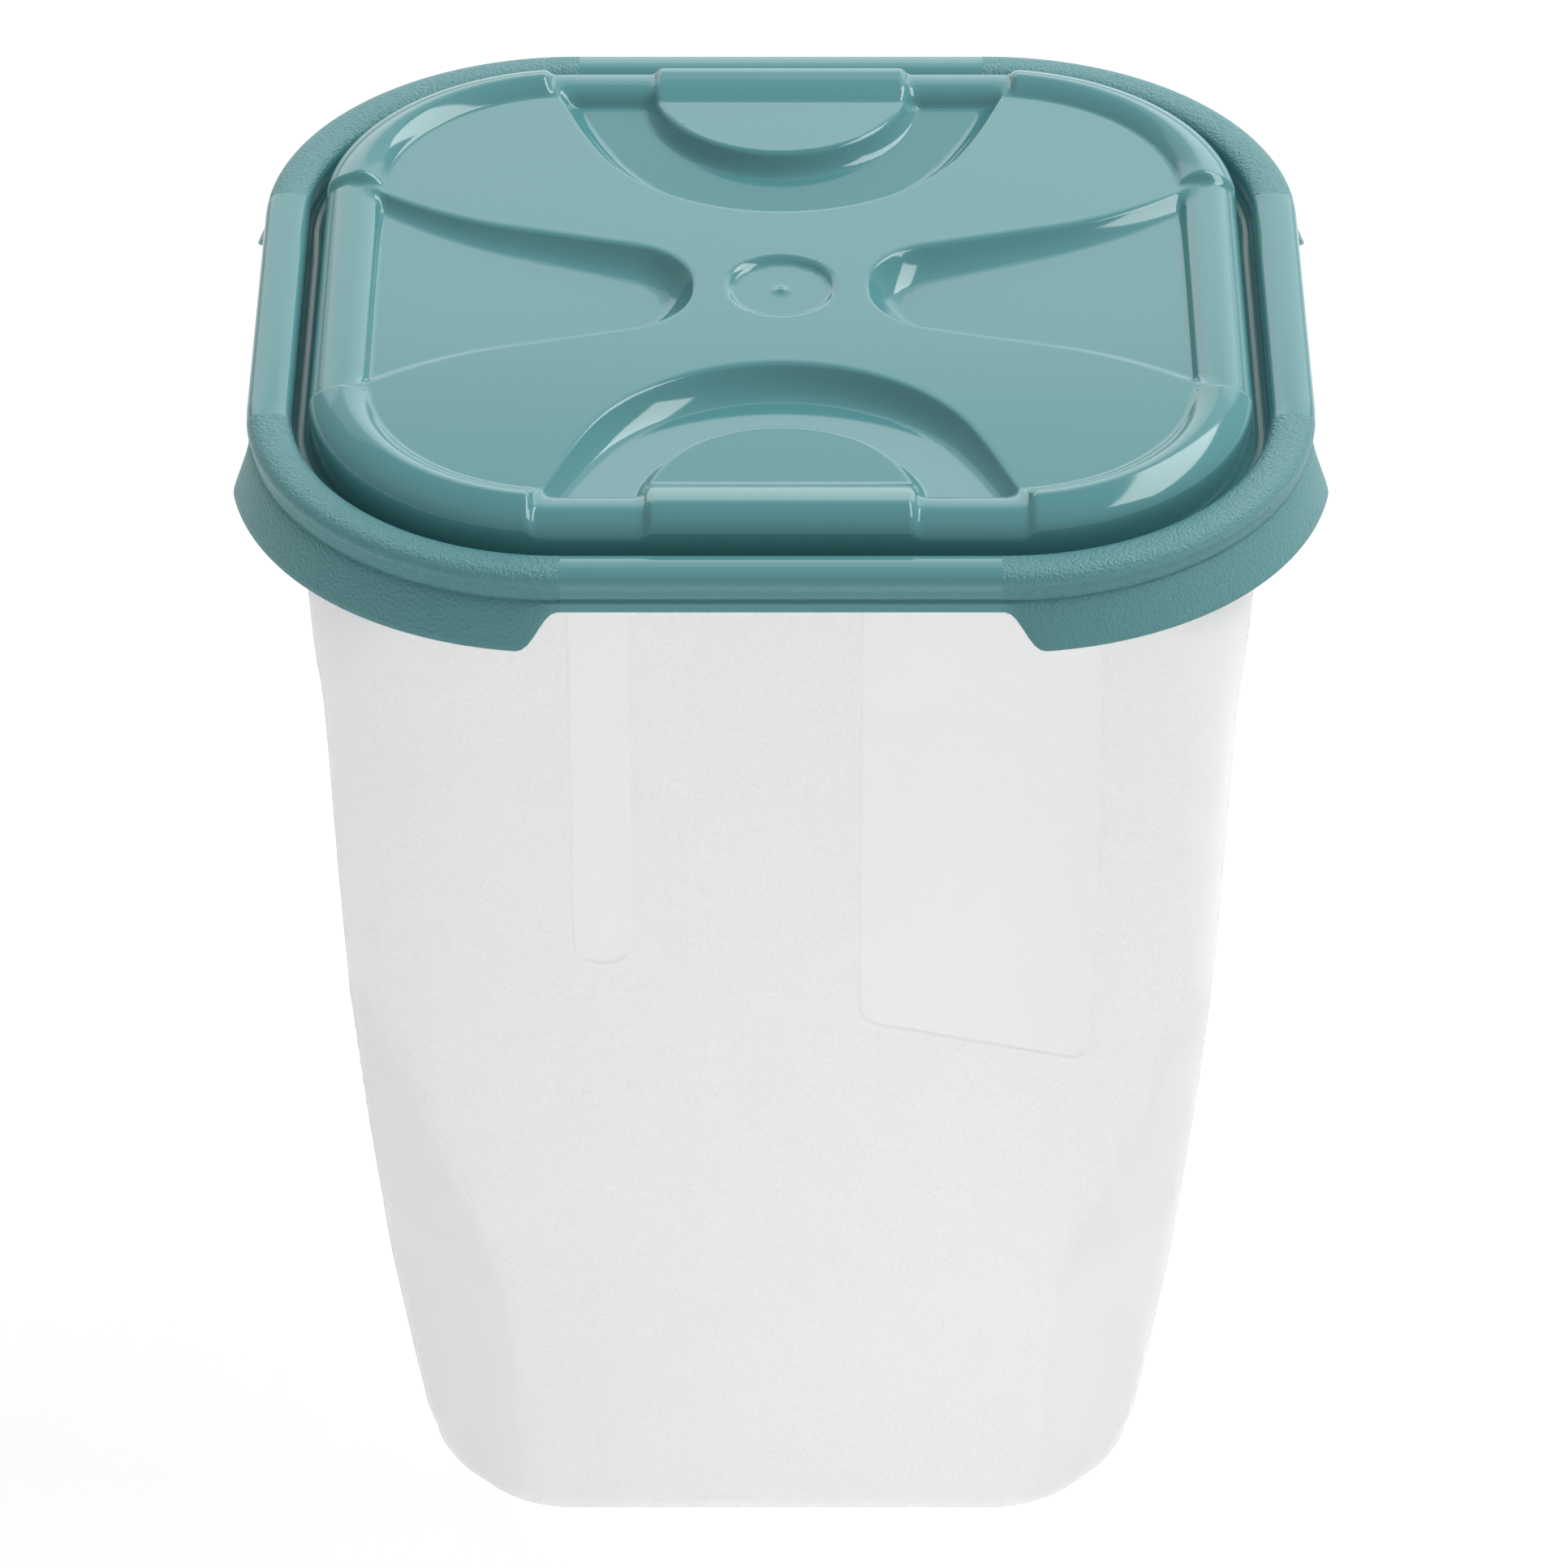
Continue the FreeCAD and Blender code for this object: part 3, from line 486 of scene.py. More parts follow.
def lid_hoop(kind, first, second, turn):
    """A hoop's points: how far outside the rim they lie, their height over the crest, and their x and y."""
    rim_x, rim_y = rim_outline(turn, 0.0)
    corner = step(np.abs(rim_x), SKIRT_GAP_X, SKIRT_GAP_RUN) * step(np.abs(rim_y), SKIRT_GAP_Y, SKIRT_GAP_RUN)
    foot = SKIRT_FOOT + (CORNER_FOOT - SKIRT_FOOT) * corner
    edge = BAND_OFFSET + LIP_STEP * (1 - corner) + CORNER_FLARE * corner
    even = np.ones_like(turn)
    if kind in ("relief", "under"):
        offset = PANEL_OFFSET - first * even
        height = relief(*rim_outline(turn, offset)) - (WALL if kind == "under" else 0)
    elif kind == "plain":
        offset, height = first * even, second * even
    elif kind == "skirt":
        skirt_top = VALLEY_LEVEL - 2 * VALLEY_RUN
        offset = BAND_OFFSET + LIP_STEP * (1 - corner) + CORNER_FLARE * corner * first ** FLARE_POWER
        height = skirt_top + (foot + EDGE_ROUND - skirt_top) * first
    elif kind == "edge":
        angle = first * math.pi
        offset = edge - WALL / 2 + WALL / 2 * math.cos(angle)
        height = foot + EDGE_ROUND - EDGE_ROUND * math.sin(angle)
    else:
        offset = edge - WALL + (CHANNEL_OUTER - edge + WALL) * first
        height = foot + EDGE_ROUND + (SKIRT_FOOT - foot - LINING_STEP) * first
    return offset, height, *rim_outline(turn, offset)


print("the skirt hangs", SKIRT_FOOT - CORNER_FOOT, "mm lower at the corners")

# %% [markdown]
# ## Making the lid
# Now the blank takes its form: the hoops go to their places in the section and the grid to its relief.
# Three things are then finished on the mesh. Its faces are split along their shorter diagonal, which
# follows the rows. The underside is seldom seen, so it is thinned by collapsing its edges. And the panel
# gets its normals from the relief's own slope, because glossy plastic shows every small turn of a normal
# as a dent.

# %% Finishing touches for the lid's mesh
RIM_GAP = 0.2
CREST = tub_high.z / MM + RIM_GAP + WALL
EVEN_OUT, ON_RELIEF, ROLL_EDGE = 0.25, 0.01, 0.4


def split_faces():
    """Splits the active piece's faces into triangles along their shorter diagonal."""
    bpy.ops.object.mode_set(mode="EDIT")
    bpy.ops.mesh.select_all(action="SELECT")
    bpy.ops.mesh.quads_convert_to_tris(quad_method="SHORTEST_DIAGONAL")
    bpy.ops.object.mode_set(mode="OBJECT")


def thin_out(piece, chosen, share):
    """Keeps a share of the faces of a part that is seldom seen, by collapsing its edges."""
    bpy.ops.object.mode_set(mode="EDIT")
    bpy.ops.mesh.select_mode(type="VERT")
    bpy.ops.mesh.select_all(action="DESELECT")
    bpy.ops.object.mode_set(mode="OBJECT")
    piece.data.vertices.foreach_set("select", chosen)
    bpy.ops.object.mode_set(mode="EDIT")
    bpy.ops.mesh.select_mode(type="VERT")
    bpy.ops.mesh.decimate(ratio=share)
    bpy.ops.object.mode_set(mode="OBJECT")
    print(piece.name, "is thinned to", len(piece.data.polygons), "triangles")


def shade_relief(piece):
    """Gives the panel's vertices the normals of the relief itself, which a grid can only come near."""
    places = np.empty(3 * len(piece.data.vertices))
    piece.data.vertices.foreach_get("co", places)
    x, y, z = places.reshape(-1, 3).T / MM
    slope_x = (relief(x + EVEN_OUT, y) - relief(x - EVEN_OUT, y)) / (2 * EVEN_OUT)
    slope_y = (relief(x, y + EVEN_OUT) - relief(x, y - EVEN_OUT)) / (2 * EVEN_OUT)
    normals = np.stack([-slope_x, -slope_y, np.ones_like(x)], 1)
    normals /= np.linalg.norm(normals, axis=1)[:, None]
    on_panel = rim_distance(x, y) < PANEL_OFFSET - ROLL_EDGE
    on_relief = (np.abs(z - CREST - relief(x, y)) < ON_RELIEF) & on_panel
    normals[~on_relief] = 0
    piece.data.normals_split_custom_set_from_vertices(normals.tolist())
    print(int(on_relief.sum()), "vertices are shaded as the relief")


# %% Make the lid
UNDERSIDE_SHARE = 0.12


def make_lid():
    """The lid's whole shell, its places worked out from the relief and the rim's section."""
    sections = lid_hoops()
    last = len(sections) - 1
    lid = hooped_plate("snap_lid", LID_CELLS, len(sections))
    across, along, hoop = blank_places(lid, len(sections))
    turn = turn_of(across, along)
    x, y, z, outward = [np.zeros(len(hoop)) for _ in range(4)]
    for number, (kind, first, second) in enumerate(sections):
        mine = hoop == number
        outward[mine], z[mine], x[mine], y[mine] = lid_hoop(kind, first, second, turn[mine])
    for number, thickness in ((0, 0), (last, WALL)):
        mine = hoop == number
        x[mine], y[mine] = in_rows(across[mine], along[mine])
        z[mine] = relief(x[mine], y[mine]) - thickness
        outward[mine] = PANEL_OFFSET - GRID_DEPTH
    lid.data.attributes.new("outward", "FLOAT", "POINT").data.foreach_set("value", outward)
    set_places(lid, x, y, z + CREST)
    split_faces()
    first_lining = [kind for kind, _, _ in sections].index("lining")
    thin_out(lid, hoop > first_lining, UNDERSIDE_SHARE)
    shade_relief(lid)
    return lid


lid = make_lid()
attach(lid, "lid")
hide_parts("lid")

# %% [markdown]
# ## The tub's form
# The tub tapers from a kink below its rim down to a small foot, and a facet slices off each lower corner.
# Cutting the facets with Bisect would leave hard creases to bevel one by one. Here each level is a rounded
# rectangle cut by a slanted line at the corners: as a signed distance, the cut is a soft maximum of the
# two, which also rounds the crease. The outline at a level is then where a ray from the middle meets a
# distance of zero, or of minus the wall's thickness for the inside.

# %% Levels and tapers of the tub
RIM_HEIGHT, LEDGE_THICKNESS, COLLAR_HEIGHT = 5.0, 1.3, 21.0
TUB_TOP = tub_high.z / MM
LEDGE_TOP = TUB_TOP - RIM_HEIGHT
LEDGE_UNDER = LEDGE_TOP - LEDGE_THICKNESS
KINK_LEVEL = LEDGE_UNDER - COLLAR_HEIGHT
SHOULDER_DROP, FACET_END_DROP, LOW_LEVEL, FACET_PEAK = 39, 47, 24.0, 45.0
TAPER_LEVELS = np.array([0, LOW_LEVEL, FACET_PEAK, KINK_LEVEL - SHOULDER_DROP, KINK_LEVEL])
TAPERS = np.array([10.4, 7.0, 4.5, 1.6, 0])
FACET_LEVELS = np.array([0, FACET_PEAK, KINK_LEVEL - FACET_END_DROP, KINK_LEVEL])
FACET_LEGS = np.array([13.0, 18.0, 2.1, -14.0])
CREASE_LEVELS = np.array([0, FACET_PEAK, KINK_LEVEL - FACET_END_DROP])
CREASES = np.array([5.0, 1.6, 0.7])


def eased(level, levels, values):
    """A smooth curve through a few levels that never overshoots them."""
    rise = np.diff(values) / np.diff(levels)
    slope = np.zeros(len(values))
    same = rise[:-1] * rise[1:] > 0
    slope[1:-1][same] = 2 * rise[:-1][same] * rise[1:][same] / (rise[:-1] + rise[1:])[same]
    slope[0], slope[-1] = rise[0], rise[-1]
    place = np.clip(np.searchsorted(levels, level, side="right") - 1, 0, len(levels) - 2)
    span = levels[place + 1] - levels[place]
    share = np.clip((level - levels[place]) / span, 0, 1)
    rest = 1 - share
    return (values[place] * (1 + 2 * share) * rest ** 2 + values[place + 1] * (3 - 2 * share) * share ** 2
            + span * share * rest * (slope[place] * rest - slope[place + 1] * share))


print("the tub kinks", round(KINK_LEVEL, 1), "mm up")

# %% The tub's outline at a level
LEDGE_STEP, COLLAR_FLARE = 4.3, 2.8
TUB_CORNER, KINK_CORNER, COLLAR_TOP_CORNER, CORNER_EASE = 3.6, 6.0, 26.0, 2.2


def tub_section(level):
    """Half width, half depth, corner radius, distance of the facet and softness of its crease, at a level."""
    below = min(level, KINK_LEVEL)
    above = max(level - KINK_LEVEL, 0) / (LEDGE_UNDER - KINK_LEVEL)
    taper = LEDGE_STEP + COLLAR_FLARE + eased(below, TAPER_LEVELS, TAPERS) - COLLAR_FLARE * above
    half_x, half_y = RIM_HALF_X - taper, RIM_HALF_Y - taper
    shoulder = KINK_LEVEL - SHOULDER_DROP
    upright = np.clip((below - shoulder) / SHOULDER_DROP, 0, 1)
    corner = (TUB_CORNER + (KINK_CORNER - TUB_CORNER) * upright
              + (COLLAR_TOP_CORNER - KINK_CORNER) * above ** CORNER_EASE)
    facet = (half_x + half_y - np.interp(below, FACET_LEVELS, FACET_LEGS)) / math.sqrt(2)
    return half_x, half_y, corner, facet, np.interp(below, CREASE_LEVELS, CREASES)


def box_and_cut(x, y, half_x, half_y, corner, facet):
    """How far a place lies outside the rounded rectangle of a section, and outside its facets."""
    over_x, over_y = np.abs(x) - half_x + corner, np.abs(y) - half_y + corner
    past_corner = np.hypot(np.maximum(over_x, 0), np.maximum(over_y, 0))
    box = past_corner + np.minimum(np.maximum(over_x, over_y), 0) - corner
    return box, (np.abs(x) + np.abs(y)) / math.sqrt(2) - facet


def distance(x, y, half_x, half_y, corner, facet, crease):
    """How far a place lies outside the tub's outline: a rounded rectangle, softly cut by the facets."""
    box, cut = box_and_cut(x, y, half_x, half_y, corner, facet)
    soft = np.maximum(crease - np.abs(box - cut), 0) ** 2 / (4 * crease)
    return np.maximum(box, cut) + soft


print("at the kink the tub is", round(2 * float(tub_section(KINK_LEVEL)[0]), 1), "mm wide")

# %% Where a ray leaves the tub's outline
FARTHEST, HALVINGS = 120.0, 36


def reach(angle, section, inset):
    """How far from the middle a ray at an angle leaves a section, drawn in by an inset."""
    near, far = np.zeros_like(angle), np.full_like(angle, FARTHEST)
    for _ in range(HALVINGS):
        middle = (near + far) / 2
        inside = distance(middle * np.cos(angle), middle * np.sin(angle), *section) < -inset
        near, far = np.where(inside, middle, near), np.where(inside, far, middle)
    return (near + far) / 2


print("the foot is", round(2 * float(reach(np.zeros(1), tub_section(0), 0.0)[0]), 1), "mm wide")

# %% [markdown]
# ## The tub's wall and rim
# On the real tub one thin wall runs up from a rounded foot to a ledge, on which the rim stands with the
# small lip that the lid snaps over. A Solidify modifier would give the wall but not the lip. So the hoops
# are listed as a section would be drawn: up the outside, over the rim, and down the inside to the floor.

# %% The rim's section
RIM_WALL, LIP_PROUD, LIP_BEVEL, LIP_LEAN = 1.3, 0.9, 0.5, 0.05
LIP_TOP, LIP_FOOT = TUB_TOP - 1.2, TUB_TOP - 2.8
LEDGE_EDGE, LEDGE_ROUND, TOP_RUN, TOP_DROP = 0.15, 0.6, 0.45, 0.4
TOP_MIDDLE_RUN, TOP_MIDDLE_DROP = 0.15, 0.1
CORNER_BEVEL, CORNER_MIDDLE_RUN, CORNER_MIDDLE_RISE = 0.5, 0.2, 0.1
FAR_FACET, NO_CREASE = 500.0, 1.0


def rim_section(offset):
    """The rim's outline at a distance, in the form that the tub's sections have."""
    return RIM_HALF_X + offset, RIM_HALF_Y + offset, RIM_CORNER + offset, FAR_FACET, NO_CREASE


def rim_points():
    """The rim's section from its outer foot over the lip and the top to the ledge inside, as offset and z."""
    outer = [(-LEDGE_EDGE, LEDGE_UNDER + LEDGE_EDGE), (0, LEDGE_UNDER + LEDGE_ROUND), (0, LIP_FOOT),
             (LIP_BEVEL, LIP_FOOT + LIP_LEAN), (LIP_PROUD, LIP_FOOT + LIP_BEVEL),
             (LIP_PROUD, LIP_TOP - LIP_BEVEL), (LIP_BEVEL, LIP_TOP - LIP_LEAN), (0, LIP_TOP)]
    top = [(0, TUB_TOP - TOP_DROP), (-TOP_MIDDLE_RUN, TUB_TOP - TOP_MIDDLE_DROP), (-TOP_RUN, TUB_TOP)]
    inner_top = [(-RIM_WALL - offset, level) for offset, level in reversed(top)]
    inner = [(-RIM_WALL, LEDGE_TOP + CORNER_BEVEL),
             (-RIM_WALL - CORNER_MIDDLE_RUN, LEDGE_TOP + CORNER_MIDDLE_RISE),
             (-RIM_WALL - CORNER_BEVEL, LEDGE_TOP)]
    return outer + top + inner_top + inner


print("the rim's section has", len(rim_points()), "points")

# %% The tub's section, hoop by hoop
TUB_WALL, TUB_FLOOR, FOOT_ROUND = 1.3, 1.6, 3.8
FOOT_STEPS, WALL_STEPS, COLLAR_STEPS, FLOOR_STEPS = 8, 64, 14, 7
COLLAR_GAP, FILLET_RUN, FILLET_DROP, FILLET_END = 0.5, 0.4, 0.1, 1.0
INNER_RUN, INNER_MIDDLE, INNER_DROP = 0.6, 0.1, 0.2


def tub_hoops():
    """The tub's hoops from the edge of its foot over the rim to its floor, as section, inset and z."""
    hoops = []
    for angle in np.radians(np.linspace(0, 90, FOOT_STEPS)):
        inset = FOOT_ROUND * (1 - math.sin(angle))
        hoops.append((tub_section(0), inset, FOOT_ROUND * (1 - math.cos(angle))))
    wall_levels = [*np.linspace(FOOT_ROUND, KINK_LEVEL, WALL_STEPS)[1:],
                   *np.linspace(KINK_LEVEL, LEDGE_UNDER - COLLAR_GAP, COLLAR_STEPS)[1:]]
    hoops += [(tub_section(level), 0.0, level) for level in wall_levels]
    ledge = tub_section(LEDGE_UNDER)
    hoops += [(ledge, -FILLET_RUN, LEDGE_UNDER - FILLET_DROP), (ledge, -FILLET_END, LEDGE_UNDER),
              (rim_section(-LEDGE_ROUND), 0.0, LEDGE_UNDER)]
    hoops += [(rim_section(offset), 0.0, level) for offset, level in rim_points()]
    hoops += [(ledge, TUB_WALL - INNER_RUN, LEDGE_TOP),
              (ledge, TUB_WALL - INNER_MIDDLE, LEDGE_TOP - INNER_DROP)]
    inner_levels = [level for level in reversed(wall_levels) if level > TUB_FLOOR + FOOT_ROUND]
    hoops += [(tub_section(level), TUB_WALL, level) for level in inner_levels]
    inner_round = FOOT_ROUND - TUB_WALL
    for angle in np.radians(np.linspace(90, 0, FLOOR_STEPS)):
        inset = TUB_WALL + inner_round * (1 - math.sin(angle))
        hoops.append((tub_section(TUB_FLOOR), inset, TUB_FLOOR + inner_round * (1 - math.cos(angle))))
    return hoops


print("the tub has", len(tub_hoops()), "hoops")

# %% Make the tub
TUB_CELLS = 90


def tub_outline(turn, section, inset):
    """A section's outline, its points in the directions in which the rim's points lie."""
    spread_x, spread_y = rim_outline(turn, 0.0)
    angle = np.arctan2(spread_y, spread_x)
    radius = reach(angle, section, inset)
    return radius * np.cos(angle), radius * np.sin(angle)


def make_tub():
    """The tub's whole shell, hoop by hoop, with its foot and its floor as the two grids."""
    hoops = tub_hoops()
    tub = hooped_plate("frosted_tub", TUB_CELLS, len(hoops))
    across, along, hoop = blank_places(tub, len(hoops))
    turn = turn_of(across, along)
    x, y, z, facet, strip = [np.zeros(len(hoop)) for _ in range(5)]
    for number, (section, inset, level) in enumerate(hoops):
        mine = hoop == number
        z[mine] = level
        if number in (0, len(hoops) - 1):
            x[mine], y[mine] = filled(lambda t: tub_outline(t, section, inset), across[mine], along[mine])
        else:
            x[mine], y[mine] = tub_outline(turn[mine], section, inset)
            half_x, half_y, corner = section[:3]
            box, cut = box_and_cut(x[mine], y[mine], *section[:4])
            in_corner = (np.abs(x[mine]) > half_x - corner) & (np.abs(y[mine]) > half_y - corner)
            facet[mine] = cut > box
            strip[mine] = in_corner & (cut <= box)
    for name, values in (("facet", facet), ("strip", strip)):
        tub.data.attributes.new(name, "FLOAT", "POINT").data.foreach_set("value", values)
    set_places(tub, x, y, z)
    return tub


tub = make_tub()
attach(tub, "tub")
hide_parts("tub")

# %% [markdown]
# ## Plastics
# Both mouldings are polypropylene. The lid is opaque and glossy from a polished mould, but the mould was
# spark-eroded at the corners of the rim, which leaves a fine pebbled grain. The tub is uncoloured, so it
# is milky and lets light through, and its walls have the same kind of grain, only finer. A grain this
# small would take millions of faces as geometry, so one node group makes it for both, as a height for
# bump.

# %% Helpers for the node trees


def new_group(name, inputs, outputs):
    """An empty node group with its sockets, and its two end nodes."""
    group = bpy.data.node_groups.new(name, "ShaderNodeTree")
    for direction, sockets in (("INPUT", inputs), ("OUTPUT", outputs)):
        for socket, kind in sockets:
            group.interface.new_socket(socket, in_out=direction, socket_type=kind)
    return group, group.nodes.new("NodeGroupInput"), group.nodes.new("NodeGroupOutput")


def math_node(tree, operation, *values):
    """A math node whose inputs are numbers or the outputs of other nodes; gives its output."""
    node = tree.nodes.new("ShaderNodeMath")
    node.operation = operation
    for socket, value in zip(node.inputs, values):
        if isinstance(value, (int, float)):
            socket.default_value = value
        else:
            tree.links.new(value, socket)
    return node.outputs[0]


def object_places(tree):
    """Object coordinates, whole and as x, y and z."""
    places = tree.nodes.new("ShaderNodeTexCoord").outputs["Object"]
    apart = tree.nodes.new("ShaderNodeSeparateXYZ")
    tree.links.new(places, apart.inputs["Vector"])
    return places, apart.outputs


def new_material(name):
    """A material with its own Principled shader, and the node tree to add to."""
    material = bpy.data.materials.new(name)
    material.use_nodes = True
    return material, material.node_tree, material.node_tree.nodes["Principled BSDF"]


# %% The grain that both plastics share
GRAIN_DETAIL, GRAIN_SHARPNESS = 2, 0.55


def make_grain_group():
    """A node group that gives a pebbled height from Object coordinates, its size set from outside."""
    inputs = [("Vector", "NodeSocketVector"), ("Pebbles per metre", "NodeSocketFloat")]
    group, enter, leave = new_group("mould_grain", inputs, [("Height", "NodeSocketFloat")])
    noise = group.nodes.new("ShaderNodeTexNoise")
    noise.inputs["Detail"].default_value = GRAIN_DETAIL
    noise.inputs["Roughness"].default_value = GRAIN_SHARPNESS
    group.links.new(enter.outputs["Vector"], noise.inputs["Vector"])
    group.links.new(enter.outputs["Pebbles per metre"], noise.inputs["Scale"])
    group.links.new(noise.outputs["Fac"], leave.inputs["Height"])
    return group


def grain_height(tree, places, pebbles):
    """The shared grain, placed in a material with its own number of pebbles per metre."""
    grain = tree.nodes.new("ShaderNodeGroup")
    grain.node_tree = grain_group
    grain.inputs["Pebbles per metre"].default_value = pebbles
    tree.links.new(places, grain.inputs["Vector"])
    return grain.outputs["Height"]


def add_bump(tree, shader, height, depth):
    """Turns a height into a bump of a depth in metres on the shader's normal."""
    bump = tree.nodes.new("ShaderNodeBump")
    bump.inputs["Strength"].default_value = 1.0
    bump.inputs["Distance"].default_value = depth
    tree.links.new(height, bump.inputs["Height"])
    tree.links.new(bump.outputs["Normal"], shader.inputs["Normal"])


grain_group = make_grain_group()
print("node group", grain_group.name)

# %% [markdown]
# ## The lid's teal
# The panel, the groove and the straight sides of the rim shine, and only the corners of the bead and skirt
# are pebbled and dull, with a sharp line between. Two materials would need a cut in the mesh along that
# line. One material with a mask is simpler: x and y find the corners, and an attribute that the lid's
# maker stored on the mesh, the distance outside the rim, keeps the mask off the panel.

# %% The lid's teal plastic
TEAL, TEAL_IOR = (0.088, 0.268, 0.283, 1), 1.49
GLOSS_ROUGHNESS, GRAIN_DULLNESS = 0.09, 0.27
LID_PEBBLES, LID_GRAIN_DEPTH = 2500, 0.0003
GRAIN_X, GRAIN_Y, GRAIN_INSIDE = 0.0281, 0.0275, -2.6


def make_teal():
    """Glossy teal plastic, pebbled at the corners of the rim."""
    material, tree, shader = new_material("teal_gloss")
    shader.inputs["Base Color"].default_value = TEAL
    shader.inputs["IOR"].default_value = TEAL_IOR
    places, (x, y, _) = object_places(tree)
    past_x = math_node(tree, "GREATER_THAN", math_node(tree, "ABSOLUTE", x), GRAIN_X)
    past_y = math_node(tree, "GREATER_THAN", math_node(tree, "ABSOLUTE", y), GRAIN_Y)
    outward = tree.nodes.new("ShaderNodeAttribute")
    outward.attribute_name = "outward"
    on_rim = math_node(tree, "GREATER_THAN", outward.outputs["Fac"], GRAIN_INSIDE)
    matte = math_node(tree, "MULTIPLY", math_node(tree, "MULTIPLY", past_x, past_y), on_rim)
    roughness = math_node(tree, "MULTIPLY_ADD", matte, GRAIN_DULLNESS, GLOSS_ROUGHNESS)
    tree.links.new(roughness, shader.inputs["Roughness"])
    grain = grain_height(tree, places, LID_PEBBLES)
    add_bump(tree, shader, math_node(tree, "MULTIPLY", grain, matte), LID_GRAIN_DEPTH)
    return material


lid.data.materials.append(make_teal())
print("the lid is", lid.data.materials[0].name)

# %% [markdown]
# ## The tub's frost
# Milky plastic scatters the light that goes through it. A volume shader would be the exact way, but it is
# slow and noisy, and on a thin wall a rough glass of low index looks the same. The facets, the upright
# strips beside them and two fields on the front wall came from a smoother part of the mould, so the grain
# fades there, and the strips and fields are a little lighter. The facets are painted a little darker:
# painted shade for their slant away from the light. Shadow rays pass partly straight through, which keeps
# the inside of the tub bright.

# %% The bare fields on the front wall
FIELD_EDGE, FRONT = 0.0004, -0.04
PILL_X, PILL_FOOT, PILL_ROUND = -0.0235, 0.108, 0.004
FIELD_X, FIELD_HALF, FIELD_FOOT, FIELD_LEAN, FIELD_ROUND = 0.026, 0.0125, 0.0935, 0.22, 0.003


def field_mask(tree, aside, below, radius):
    """1 inside a rounded field and 0 outside, from how far a place lies aside of and below its core."""
    past_side, past_foot = [math_node(tree, "MAXIMUM", value, 0) for value in (aside, below)]
    foot_square = math_node(tree, "MULTIPLY", past_foot, past_foot)
    squares = math_node(tree, "MULTIPLY_ADD", past_side, past_side, foot_square)
    away = math_node(tree, "SUBTRACT", math_node(tree, "SQRT", squares), radius)
    edge = math_node(tree, "MULTIPLY_ADD", away, -1 / FIELD_EDGE, 0.5)
    return math_node(tree, "MINIMUM", math_node(tree, "MAXIMUM", edge, 0), 1)


def bare_fields(tree, x, y, z):
    """A mask of the two smooth fields on the front wall: a narrow upright one and a wide one."""
    pill_aside = math_node(tree, "ABSOLUTE", math_node(tree, "SUBTRACT", x, PILL_X))
    pill = field_mask(tree, pill_aside, math_node(tree, "SUBTRACT", PILL_FOOT, z), PILL_ROUND)
    along = math_node(tree, "SUBTRACT", x, FIELD_X)
    aside = math_node(tree, "SUBTRACT", math_node(tree, "ABSOLUTE", along), FIELD_HALF)
    foot = math_node(tree, "MULTIPLY_ADD", along, -FIELD_LEAN, FIELD_FOOT)
    field = field_mask(tree, aside, math_node(tree, "SUBTRACT", foot, z), FIELD_ROUND)
    either = math_node(tree, "MAXIMUM", pill, field)
    return math_node(tree, "MULTIPLY", either, math_node(tree, "LESS_THAN", y, FRONT))


print("the wide field is", round(2 * (FIELD_HALF + FIELD_ROUND) / MM, 1), "mm wide")

# %% The tub's frosted plastic
MILK_IOR, MILK_CLEARNESS, MILK_ROUGHNESS, SMOOTHING = 1.2, 0.75, 0.5, 0.08
TUB_PEBBLES, TUB_GRAIN_DEPTH, GRAIN_MIDDLE, GRAIN_FADE = 2800, 0.00013, 0.5, 0.8
# The last of these tones darkens the facets: painted shade, not a colour of the plastic.
MILK_TONE, GRAIN_TONE, BARE_TONE, FACET_PAINTED_SHADE = 0.9, 0.22, 0.014, 0.036
FIELD_STEP = 1.3
SHADOW_TINT = (0.76, 0.76, 0.76, 1)


def light_passes(tree, shader):
    """Lets shadow rays go partly straight through the plastic."""
    through = tree.nodes.new("ShaderNodeBsdfTransparent")
    through.inputs["Color"].default_value = SHADOW_TINT
    path, mix = tree.nodes.new("ShaderNodeLightPath"), tree.nodes.new("ShaderNodeMixShader")
    tree.links.new(path.outputs["Is Shadow Ray"], mix.inputs["Fac"])
    tree.links.new(shader.outputs["BSDF"], mix.inputs[1])
    tree.links.new(through.outputs["BSDF"], mix.inputs[2])
    tree.links.new(mix.outputs["Shader"], tree.nodes["Material Output"].inputs["Surface"])


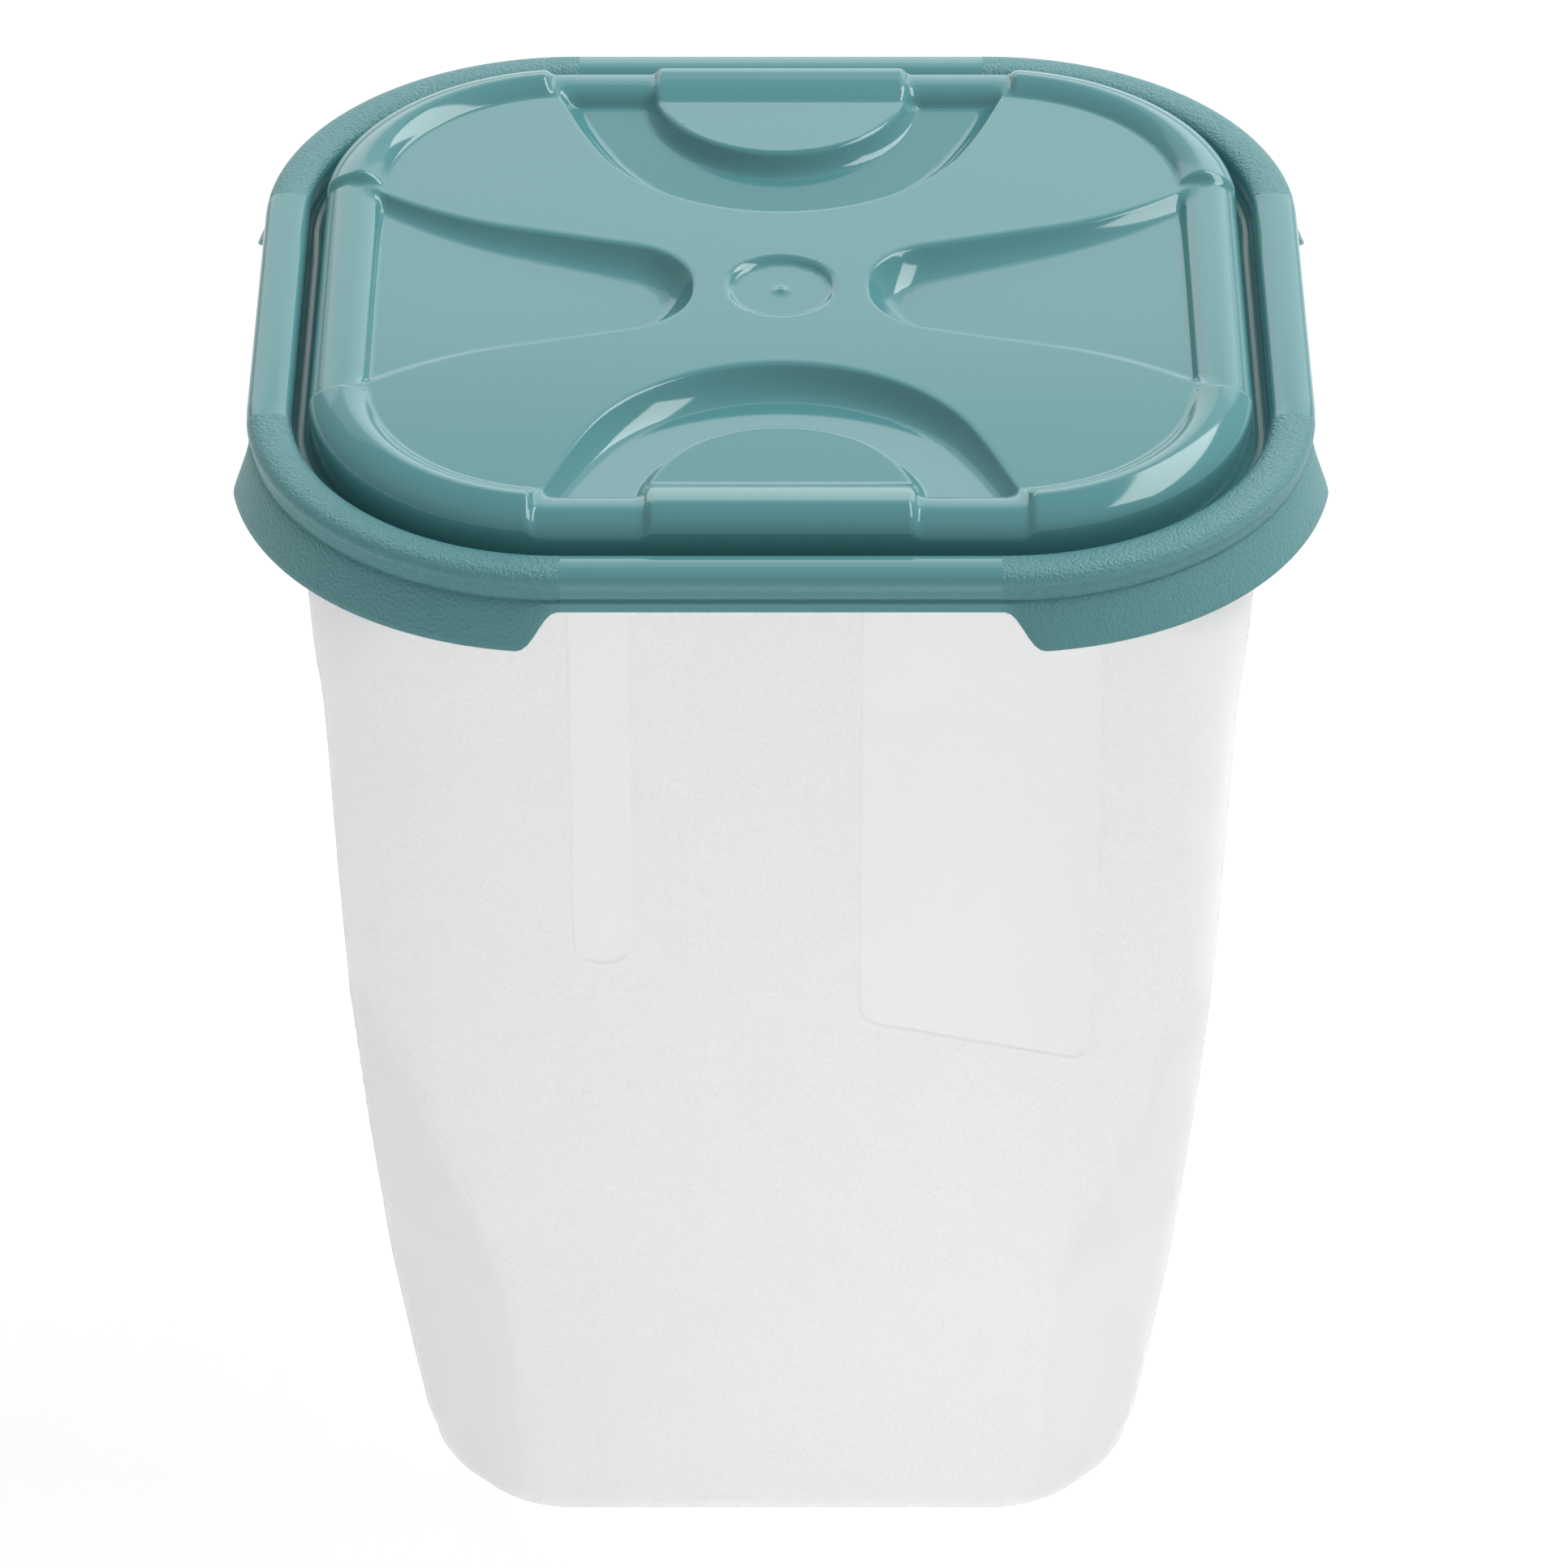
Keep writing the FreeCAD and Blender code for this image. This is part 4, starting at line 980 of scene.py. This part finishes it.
def make_frost():
    """Milky translucent plastic with a fine grain that fades where the mould was smooth."""
    material, tree, shader = new_material("frosted_milk")
    shader.inputs["IOR"].default_value = MILK_IOR
    shader.inputs["Transmission Weight"].default_value = MILK_CLEARNESS
    places, (x, y, z) = object_places(tree)
    fields = bare_fields(tree, x, y, z)
    facet, strip = [tree.nodes.new("ShaderNodeAttribute") for _ in range(2)]
    facet.attribute_name, strip.attribute_name = "facet", "strip"
    bare = math_node(tree, "MAXIMUM", fields, strip.outputs["Fac"])
    smooth = math_node(tree, "MAXIMUM", bare, facet.outputs["Fac"])
    roughness = math_node(tree, "MULTIPLY_ADD", smooth, -SMOOTHING, MILK_ROUGHNESS)
    tree.links.new(roughness, shader.inputs["Roughness"])
    pebbles = math_node(tree, "SUBTRACT", grain_height(tree, places, TUB_PEBBLES), GRAIN_MIDDLE)
    rough = math_node(tree, "MULTIPLY", pebbles, math_node(tree, "MULTIPLY_ADD", smooth, -GRAIN_FADE, 1))
    tone = math_node(tree, "MULTIPLY_ADD", rough, GRAIN_TONE, MILK_TONE)
    tone = math_node(tree, "MULTIPLY_ADD", bare, BARE_TONE, tone)
    # The facets are made darker in colour: painted shade for their slant away from the light.
    tone = math_node(tree, "MULTIPLY_ADD", facet.outputs["Fac"], -FACET_PAINTED_SHADE, tone)
    tree.links.new(tone, shader.inputs["Base Color"])
    add_bump(tree, shader, math_node(tree, "MULTIPLY_ADD", fields, FIELD_STEP, rough), TUB_GRAIN_DEPTH)
    light_passes(tree, shader)
    return material


tub.data.materials.append(make_frost())
print("the tub is", tub.data.materials[0].name)

# %% [markdown]
# ## Floor and light
# The photograph has a white ground and soft light. The bright streaks on the lid tell of one long soft box
# high on the right and a little behind, and the pale sheen of its panel of a wide light behind, brighter
# low down. So there are three area lights and an even white sky. The ground shows hardly any shadow. A
# plain white floor would show one, so this floor is grey and glows: much of its brightness doesn't depend
# on the lights.

# %% The floor
FLOOR_SIZE, FLOOR_GAP = 30, 0.0002
FLOOR_GREY, FLOOR_ROUGHNESS, FLOOR_GLOW = (0.38, 0.38, 0.38, 1), 0.9, 0.7
WHITE = (1, 1, 1, 1)

bpy.ops.object.select_all(action="DESELECT")
bpy.ops.mesh.primitive_plane_add(size=FLOOR_SIZE, location=(0, 0, -FLOOR_GAP))
floor = bpy.context.object
floor.name = "studio_floor"
floor_material, _, floor_shader = new_material("studio_white")
floor_shader.inputs["Base Color"].default_value = FLOOR_GREY
floor_shader.inputs["Roughness"].default_value = FLOOR_ROUGHNESS
floor_shader.inputs["Emission Color"].default_value = WHITE
floor_shader.inputs["Emission Strength"].default_value = FLOOR_GLOW
floor.data.materials.append(floor_material)
print("floor", FLOOR_SIZE, "m wide")

# %% Lights and sky
SKY_STRENGTH = 0.5


def soft_box(name, place, aim, width, depth, power):
    """A rectangular area light that faces a point, in metres and watts."""
    bpy.ops.object.light_add(type="AREA", location=place)
    light = bpy.context.object
    light.name = name
    light.data.shape = "RECTANGLE"
    light.data.size, light.data.size_y = width, depth
    light.data.energy = power
    light.rotation_euler = (Vector(aim) - Vector(place)).to_track_quat("-Z", "Y").to_euler()
    print(name, "gives", power, "W")


soft_box("key_box", place=(0.93, 0.32, 1.4), aim=(0, 0, 0.17), width=1.6, depth=0.6, power=20)
soft_box("back_panel", place=(0, 1.6, 0.95), aim=(0, 0, 0.2), width=2.2, depth=1.5, power=7)
soft_box("back_strip", place=(0, 1.5, 0.7), aim=(0, 0, 0.2), width=2.2, depth=0.8, power=4.5)
world = bpy.data.worlds.new("studio_sky")
world.use_nodes = True
world.node_tree.nodes["Background"].inputs["Color"].default_value = WHITE
world.node_tree.nodes["Background"].inputs["Strength"].default_value = SKY_STRENGTH
bpy.context.scene.world = world
bpy.context.scene.view_settings.view_transform = "Standard"
